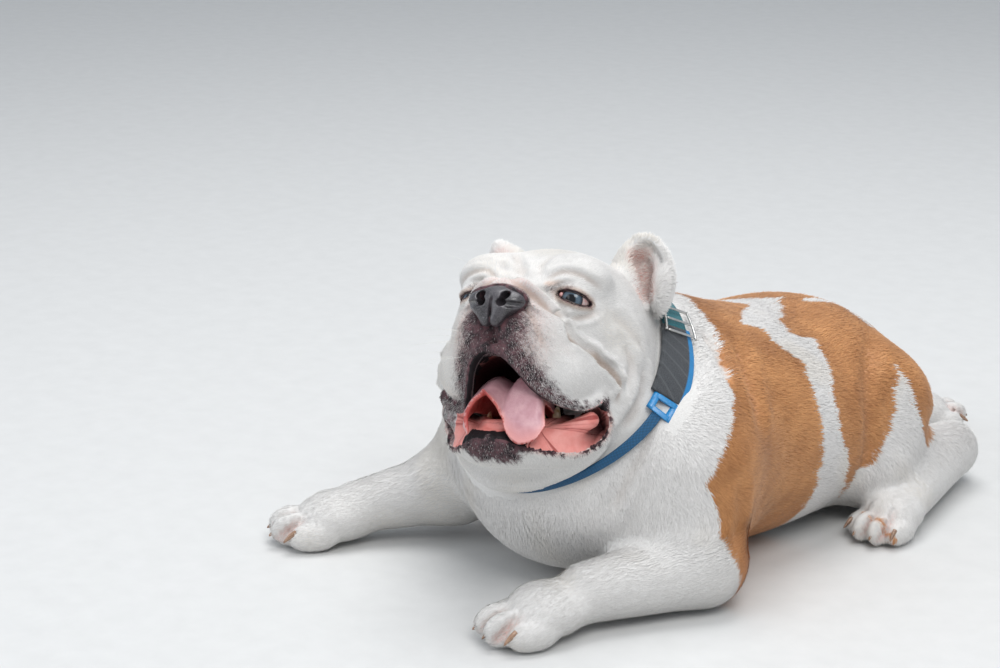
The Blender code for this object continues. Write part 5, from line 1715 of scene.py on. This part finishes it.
class BULLDOG_OT_whiskers(bpy.types.Operator):
    """Fine pale whiskers on flews, brows and cheeks: rods that bend back as the square of their length"""

    bl_idname = "bulldog.whiskers"
    bl_label = "Whiskers"

    def execute(self, context):
        rng = np.random.default_rng(WHISKER_SEED)
        skin = BVHTree.FromObject(bpy.data.objects["skin"], context.evaluated_depsgraph_get())
        grids = []
        for side in (1, -1):
            for at, length in WHISKER_ROOTS:
                spot = np.array(at) + rng.normal(size=3) * 0.002
                start = Vector(real(from_head(spot * np.array([side, 1, 1]))[None])[0])
                hit, normal, _, _ = skin.find_nearest(start)
                if hit is None:
                    raise RuntimeError("a whisker has no skin under it")
                n = np.array(normal)
                back = HEAD_TURN @ np.array([side * 0.75, 0.45, -0.15]) + rng.normal(size=3) * 0.15
                t = np.linspace(0, 1, 9)[:, None]
                size = length * rng.uniform(0.75, 1.2)
                path = np.array(hit) - n * 0.0008 + n * size * t * 0.7 + back * size * t * t * 0.7
                radii = WHISKER_RADIUS * (1 - 0.85 * t[:, 0])
                radii[-1] = TIP
                grids.append(tube(path, radii, 5))
        whiskers = joined("whiskers", grids, place=False)
        n = Nodes("whisker", rough=0.35)
        whiskers.data.materials.append(n.speckled(n.noise(300, 2.0), (0.3, 0.7), *WHISKERS))
        carry(whiskers)
        return {"FINISHED"}


LEG_LIE = {"fore_left": (-0.25, -1.0, -0.15), "fore_right": (-0.45, -0.9, -0.15),
           "hind_left": (0.10, 0.2, -1.0), "hind_right": (0.35, 0.8, -0.35)}


def lie_of(p, h, n):
    """direction the hair lies in: away from the nose on the head, back and down on the body"""
    chest = step(p[:, 1], 0.050, -0.050)[:, None]
    lie = np.array([0, 1.0, -0.30]) * (1 - chest) + np.array([0, 0.25, -1.0]) * chest
    lie = lie + np.stack([0.25 * p[:, 0] / 0.15, 0 * h[:, 0], 0 * h[:, 0]], 1)
    for name, way in LEG_LIE.items():
        near = np.exp(-np.maximum(leg_field(p, name), 0) / 0.006) * step(p[:, 2], 0.12, 0.06)
        lie = lie * (1 - near[:, None]) + np.asarray(way) * near[:, None]
    radial = unit(h - np.array([0, -0.100, 0.000]), 1e-9) + np.array([0, 0.35, -0.05])
    head = on_head(p)[:, None]
    lie = lie * (1 - head) + (radial @ HEAD_TURN.T) * head
    swirl = 0.22 * wave(p, 0.060, 21)[:, None]
    lie = lie + swirl * np.cross(n, lie)
    return unit(lie - n * (lie * n).sum(1, keepdims=True), 1e-9)


def skin_samples(rng, mesh, amount, weigh):
    """random places on the skin: points, normals, as many as wanted, spread by area and weight"""
    mesh.calc_loop_triangles()
    tris = rows_of(mesh.loop_triangles, "vertices", 3, np.int32)
    co = points_of(mesh)
    normal = rows_of(mesh.vertices, "normal", 3)
    a, b, c = (co[tris[:, i]] for i in range(3))
    area = np.linalg.norm(np.cross(b - a, c - a), axis=1) / 2
    weight = area * weigh(laid_out((a + b + c) / 3))
    total = np.cumsum(weight)
    pick = np.searchsorted(total, (np.arange(amount) + rng.random(amount)) / amount * total[-1])
    pick = np.minimum(pick, len(tris) - 1)
    u, v = rng.random(amount), rng.random(amount)
    over = u + v > 1
    u[over], v[over] = 1 - u[over], 1 - v[over]
    w = 1 - u - v
    t = tris[pick]
    spot = co[t[:, 0]] * w[:, None] + co[t[:, 1]] * u[:, None] + co[t[:, 2]] * v[:, None]
    n = normal[t[:, 0]] * w[:, None] + normal[t[:, 1]] * u[:, None] + normal[t[:, 2]] * v[:, None]
    return spot, unit(n, 1e-9)


def unwrapped_skin():
    """coarse copy of the skin with an unwrap of its own shape, for placing the tufts' patches"""
    source = bpy.data.objects["skin"]
    coarse = bpy.data.objects.new("coarse_skin", source.data.copy())
    bpy.context.scene.collection.objects.link(coarse)
    thin = coarse.modifiers.new("thin", "DECIMATE")
    thin.ratio = THIN_SHARE
    graph = bpy.context.evaluated_depsgraph_get()
    mesh = bpy.data.meshes.new_from_object(coarse.evaluated_get(graph))
    coarse.modifiers.clear()
    coarse.data = mesh
    bpy.context.view_layer.objects.active = coarse
    coarse.select_set(True)
    bpy.ops.object.mode_set(mode="EDIT")
    bpy.ops.mesh.select_all(action="SELECT")
    bpy.ops.mesh.quads_convert_to_tris()
    bpy.ops.uv.smart_project(angle_limit=math.radians(UNWRAP_ANGLE), island_margin=UNWRAP_GAP)
    bpy.ops.object.mode_set(mode="OBJECT")
    mesh = coarse.data
    co = points_of(mesh)
    corners = rows_of(mesh.loops, "vertex_index", 1, np.int32).reshape(-1, 3)
    uv = rows_of(mesh.uv_layers.active.uv, "vector", 2).reshape(-1, 3, 2)
    tree = BVHTree.FromPolygons([tuple(c) for c in co], [tuple(int(i) for i in f) for f in corners])
    bpy.data.objects.remove(coarse, do_unlink=True)
    return tree, co, corners, uv


def patch_places(sheet, spots):
    """place of each spot on the unwrap, by the nearest triangle and its corner weights"""
    tree, co, corners, uv = sheet
    found = [tree.find_nearest(Vector(s))[2] for s in spots]
    face = np.array([0 if f is None else f for f in found])
    a, b, c = (co[corners[face, i]] for i in range(3))
    v0, v1, v2 = b - a, c - a, spots - a
    d00, d01, d11 = (v0 * v0).sum(1), (v0 * v1).sum(1), (v1 * v1).sum(1)
    d20, d21 = (v2 * v0).sum(1), (v2 * v1).sum(1)
    low = d00 * d11 - d01 * d01 + 1e-18
    v = np.clip((d11 * d20 - d01 * d21) / low, 0, 1)
    w = np.clip((d00 * d21 - d01 * d20) / low, 0, 1)
    over = np.maximum(v + w, 1)
    v, w = v / over, w / over
    u = 1 - v - w
    return uv[face, 0] * u[:, None] + uv[face, 1] * v[:, None] + uv[face, 2] * w[:, None]


def under_collar(p, margin=0.002):
    """where the collar presses on the coat"""
    height = np.abs(collar_height(p) - COLLAR_LIFT)
    angle, reach = collar_angle(p)
    half = np.where(np.abs(angle) > 98, CORD_WIDTH / 2, COLLAR_HALF)
    return (height < half + margin) & (reach < NECK_REACH) & (p[:, 2] > COAT_NECK_LOWEST)


def tuft_mesh(name, rng, mesh, sheet, amount, weigh, settings):
    """thin tapered tufts: two root points, two at half length and a tip, bent over along the lie"""
    spot, n = skin_samples(rng, mesh, amount, weigh)
    p = laid_out(spot)
    h = to_head(p)
    marks = marks_of(p)
    shade = shade_of(p)
    lie = lie_of(p, h, n)
    head = on_head(p)
    face = head * step(h[:, 1], 0.045, -0.030)
    muzzle = head * step(h[:, 1], -0.060, -0.095)
    foot = step(p[:, 2], 0.070, 0.035) * (1 - head)
    short = np.maximum(face, foot * 0.75)
    length = settings.body_hair * (1 - short) + settings.face_hair * short
    length = length * (1 - 0.30 * muzzle) * (1 - 0.3 * head * (1 - face)) * (1 - 0.4 * shade[:, 0])
    thigh = step(p[:, 1], 0.33, 0.42) * step(p[:, 2], 0.02, 0.06) * (1 - foot)
    length = length * (1 + 0.25 * thigh) * rng.uniform(0.75, 1.25, amount)
    near_collar = step(np.abs(collar_height(p) - COLLAR_LIFT), 0.012, 0.026)
    on_neck = (collar_angle(p)[1] < NECK_REACH) & (p[:, 2] > COAT_NECK_LOWEST)
    near_collar = np.where(on_neck, near_collar, 1.0)
    length = length * (0.45 + 0.55 * near_collar)
    width = settings.hair_width * (1 - 0.40 * short) * rng.uniform(0.75, 1.25, amount)
    depth = coat_depth(p, h) * SIZE
    lift = depth * rng.uniform(0.15, 0.75, amount) * (0.5 + 0.5 * near_collar)
    stray = rng.random(amount) < 0.04
    lift = np.where(stray, lift * 1.9, lift)
    spread = rng.normal(size=amount) * 0.16
    lie = unit(lie + np.cross(n, lie) * spread[:, None])
    across = np.cross(lie, n)
    root = spot - n * 0.0004
    middle = spot + lie * (length * 0.5)[:, None] + n * (lift * 0.75)[:, None]
    tip = spot + lie * length[:, None] + n * lift[:, None]
    half = (width / 2)[:, None]
    points = np.stack([root - across * half, root + across * half, middle - across * half * 0.85,
                       middle + across * half * 0.85, tip], 1)
    points[..., 2] = np.maximum(points[..., 2], LOWEST_HAIR)
    base = (np.arange(amount) * 5)[:, None, None]
    faces = (base + np.array([(0, 1, 3), (0, 3, 2), (2, 3, 4)])[None]).reshape(-1, 3)
    thing = mesh_object(name, points.reshape(-1, 3), faces, place=False)
    colour = tuft_colours(rng, p, marks, shade, settings)
    # painted shade at the tuft's roots, deep in the coat, and a little painted light at its tip
    along = np.array([0.88, 0.88, 0.97, 0.97, 1.02])
    values = np.ones((amount, 5, 4))
    values[..., :3] = np.clip(colour[:, None] * along[None, :, None], 0, 1)
    attribute(thing.data, "hair", values.reshape(-1, 4))
    tilt = unit(n + lie * rng.normal(size=(amount, 1)) * 0.05 + across * rng.normal(size=(amount, 1)) * 0.07)
    thing.data.normals_split_custom_set_from_vertices(np.repeat(tilt, 5, 0).astype(np.float32).tolist())
    uv = patch_places(sheet, spot)
    corner = np.array([(-1, -1), (1, -1), (-1, 0), (1, 0), (0, 1)]) * PATCH_HALF
    at = (uv[:, None] + corner[None]).reshape(-1, 2)
    layer = thing.data.uv_layers.new(name="OFBake")
    layer.uv.foreach_set("vector", at[faces.ravel()].astype(np.float32).ravel())
    return thing


# pink-brown of the ear's hollow on the tufts, darkened as painted shade
EAR_HOLLOW_PINK_SHADE = (0.42, 0.24, 0.19)
INK = (0.056, 0.033, 0.038)
BLUSH = (0.60, 0.40, 0.35)
FOLD_SHADE = (0.42, 0.52, 0.60)


def tuft_colours(rng, p, marks, shade, settings):
    """colour of each tuft: white, tan or dark by chance of the pigment under it, with painted shade in folds,
    round the eyes and in the ear's hollow
    """
    count = len(p)
    white = np.array(settings.white)[None] * rng.uniform(0.95, 1.04, (count, 1))
    warm = step(wave(p, 0.10, 31), 0.2, 1.0)[:, None] * 0.04
    white = white * (1 - warm * np.array([0.2, 0.7, 1.6]))
    tone = 1.0 + 0.10 * wave(p, 0.075, 32) + 0.07 * wave(p, 0.021, 33) + rng.normal(size=count) * 0.08
    edge = step(np.abs(p[:, 1] - line_at(np.degrees(np.arctan2(p[:, 2] - 0.09, np.abs(p[:, 0]))),
                                         SHOULDER_LINE)), 0.035, 0.004)
    tone = tone * (1 - 0.16 * edge)
    tan = np.array(settings.tan)[None] * tone[:, None] ** np.array([0.9, 1.15, 1.35])
    colour = white * (1 - marks[:, :1]) + tan * marks[:, :1]
    # painted shade in the folds and round the eyes
    colour = colour * (1 - shade[:, :1] ** 1.4 * np.array(FOLD_SHADE))
    # the ear's hollow: pink-brown with painted shade
    hollow = shade[:, 2:3] * 0.6
    colour = colour * (1 - hollow) + np.array([EAR_HOLLOW_PINK_SHADE]) * hollow
    chance = rng.random(count)
    dark = marks[:, 1]
    ink = dark + rng.normal(size=count) * 0.55 * np.sqrt(dark * (1 - dark))
    ink = np.clip(np.where(chance < 0.10, ink * 0.55, ink), 0, 1)[:, None]
    inked = np.array([INK]) * rng.uniform(0.3, 2.4, (count, 1))
    pink = marks[:, 2]
    mottle = 0.35 + 0.35 * step(wave(p, 0.012, 41) + wave(p, 0.006, 42), 0.2, 1.2)
    pink = (pink * mottle)[:, None]
    colour = colour * (1 - pink) + np.array([BLUSH]) * pink
    colour = colour * (1 - ink) + inked * ink
    freckle = (chance > 0.9985) & (marks[:, 0] < 0.5) & (on_head(p) > 0.5)
    freckle |= (chance > 0.965) & (marks[:, 2] > 0.15) & (to_head(p)[:, 1] < -0.05)
    return np.clip(np.where(freckle[:, None], colour * 0.55, colour), 0, 1)


def coat_material():
    """hair tufts: the tuft's stored colour, with its painted shade, and fine change along it"""
    n = Nodes("coat_hair", rough=0.58, Sheen_Weight=0.10)
    hair = n.add("ShaderNodeAttribute", attribute_name="hair").outputs["Color"]
    fleck = n.noise(900, 2.0)
    tint = n.mix(n.band(fleck, 0.2, 0.8), *HAIR_TINTS)
    return n.out(n.mix(1.0, hair, tint, "MULTIPLY"))


def coat_share(p):
    """how much coat grows at a place: none in the mouth, on the nose, lids and under the collar"""
    u = to_head(p)
    h = pulled(u)
    m = mirrored(h)
    bare = 1 - step(nose_form(h), 0.0010, 0.0030)
    bare = np.maximum(bare, step(eye_slot(h, m), 0.0022, 0.0010))
    rim = np.minimum(path_distance(h, UPPER_RIM), path_distance(h, RIGHT_RIM))
    bare = np.maximum(bare, step(lips(h, m)[0], 0.0010, 0.0))
    bare = np.maximum(bare, step(mouth_hollow(h, m), 0.0045, 0.0030) * step(rim, 0.0075, 0.0100))
    bare = np.maximum(bare, 0.80 * step(path_distance(mirrored(u), EAR_HOLLOW), 0.014, 0.007))
    share = np.where(on_head(p) > 0.3, 1 - bare, 1.0)
    return share * (1 - under_collar(p)) * (p[:, 2] > 0.004)


COAT_REGIONS = (
    ("coat_face", 62000, lambda p, head: (head > 0.5) & (to_head(p)[:, 1] < -0.025)),
    ("coat_skull", 56000, lambda p, head: (head > 0.5) & (to_head(p)[:, 1] >= -0.025)),
    ("coat_neck", 60000, lambda p, head: (head <= 0.5) & (p[:, 1] < 0.050) & (p[:, 2] > 0.080)),
    ("coat_flanks", 64000, lambda p, head: (head <= 0.5) & (p[:, 1] >= 0.050) & (p[:, 1] < 0.250)
        & (p[:, 2] > 0.050)),
    ("coat_rump", 62000, lambda p, head: (head <= 0.5) & (p[:, 1] >= 0.250) & (p[:, 2] > 0.050)),
    ("coat_arms", 56000, lambda p, head: (head <= 0.5) & (p[:, 1] < 0.050) & (p[:, 2] <= 0.080)),
    ("coat_feet", 44000, lambda p, head: (head <= 0.5) & (p[:, 1] >= 0.050) & (p[:, 2] <= 0.050)),
)


class BULLDOG_OT_coat(bpy.types.Operator):
    """Short coat as thin tufts in seven pieces"""

    bl_idname = "bulldog.coat"
    bl_label = "Coat"

    def execute(self, context):
        settings = context.scene.bulldog
        sheet = unwrapped_skin()
        mesh = bpy.data.objects["skin"].data
        material = coat_material()
        amount_share = 1.0
        for number, (name, amount, where) in enumerate(COAT_REGIONS):
            rng = np.random.default_rng(COAT_SEED + number)
            thing = tuft_mesh(name, rng, mesh, sheet, int(amount * amount_share),
                              lambda p: coat_share(p) * where(p, on_head(p)), settings)
            thing.data.materials.append(material)
            carry(thing)
        return {"FINISHED"}


# soft lamps: name, place, what it shines at, width in metres, power in watts and colour
LIGHTS = (
    ("key", (1.9, -1.1, 2.9), (0, -0.1, 0.1), 1.8, 57, (1.0, 0.99, 0.98)),
    ("fill", (-1.2, -2.8, 1.5), (0, -0.1, 0.1), 2.4, 25, (0.93, 0.96, 1.0)),
    ("top", (-0.2, 0.3, 2.8), (0, 0, 0), 2.0, 46, (1.0, 1.0, 1.0)),
)
ROOM_COLOUR = (0.86, 0.92, 1.0, 1.0)
ROOM_LIGHT = 0.55


def area_light(name, place, aim, size, power, colour):
    light = bpy.data.lights.new(name, "AREA")
    light.shape = "DISK"
    light.size = size
    light.energy = power
    light.color = colour
    lamp = bpy.data.objects.new(name, light)
    bpy.context.scene.collection.objects.link(lamp)
    lamp.location = place
    lamp.rotation_euler = (Vector(aim) - Vector(place)).to_track_quat("-Z", "Y").to_euler()


class BULLDOG_OT_stage(bpy.types.Operator):
    """Pale floor, soft studio light and a camera at the photograph's angle"""

    bl_idname = "bulldog.stage"
    bl_label = "Stage"

    def execute(self, context):
        scene = context.scene
        corners = np.array([(-1, -1, 0), (1, -1, 0), (1, 1, 0), (-1, 1, 0)], float) * FLOOR_HALF
        floor = mesh_object("floor", corners, [(0, 1, 2, 3)], smooth=False, place=False)
        n = Nodes("floor", rough=0.7)
        grain = n.noise(40, 3.0)
        pale = n.mix(n.band(grain, 0.2, 0.8), *FLOOR_TONES)
        floor.data.materials.append(n.out(pale))
        world = bpy.data.worlds.new("soft_room")
        scene.world = world
        world.use_nodes = True
        sky = world.node_tree.nodes["Background"]
        sky.inputs["Color"].default_value = ROOM_COLOUR
        sky.inputs["Strength"].default_value = ROOM_LIGHT
        for lamp in LIGHTS:
            area_light(*lamp)
        a, e = math.radians(CAMERA_TURN), math.radians(CAMERA_RISE)
        back = np.array([math.sin(a) * math.cos(e), -math.cos(a) * math.cos(e), math.sin(e)])
        right = np.array([math.cos(a), math.sin(a), 0.0])
        up = np.cross(back, right)
        f = CAMERA_LENS / FILM_WIDTH * PHOTO_SIZE[0]
        u, v = CAMERA_SEES_AT
        ray = -back + right * (u - PHOTO_SIZE[0] / 2) / f + up * (PHOTO_SIZE[1] / 2 - v) / f
        spot = real((np.array(CAMERA_SEES) - CAMERA_DEPTH * ray)[None])[0]
        camera = bpy.data.objects.new("camera", bpy.data.cameras.new("camera"))
        camera.data.lens = CAMERA_LENS
        camera.data.sensor_width = FILM_WIDTH
        camera.data.clip_start = 0.05
        turned = Matrix((right, up, back)).transposed().to_4x4()
        turned.translation = Vector(spot)
        camera.matrix_world = turned
        scene.collection.objects.link(camera)
        scene.camera = camera
        scene.view_settings.view_transform = "Standard"
        return {"FINISHED"}


OPERATORS = (BULLDOG_OT_skin, BULLDOG_OT_nose, BULLDOG_OT_eyes, BULLDOG_OT_mouth, BULLDOG_OT_claws,
             BULLDOG_OT_collar, BULLDOG_OT_whiskers, BULLDOG_OT_coat, BULLDOG_OT_stage)


class BULLDOG_PT_panel(bpy.types.Panel):
    """Lists the settings and the steps that build the dog"""

    bl_label = "Bulldog"
    bl_idname = "BULLDOG_PT_panel"
    bl_space_type = "VIEW_3D"
    bl_region_type = "UI"
    bl_category = "Bulldog"

    def draw(self, context):
        for name in Settings.__annotations__:
            self.layout.prop(context.scene.bulldog, name)
        for operator in OPERATORS:
            self.layout.operator(operator.bl_idname)


CLASSES = (Settings,) + OPERATORS + (BULLDOG_PT_panel,)


def register():
    for cls in CLASSES:
        bpy.utils.register_class(cls)
    bpy.types.Scene.bulldog = bpy.props.PointerProperty(type=Settings)


def unregister():
    del bpy.types.Scene.bulldog
    for cls in reversed(CLASSES):
        bpy.utils.unregister_class(cls)


def main():
    register()
    for operator in OPERATORS:
        getattr(bpy.ops.bulldog, operator.bl_idname.split(".")[1])()


if __name__ == "__main__":
    main()
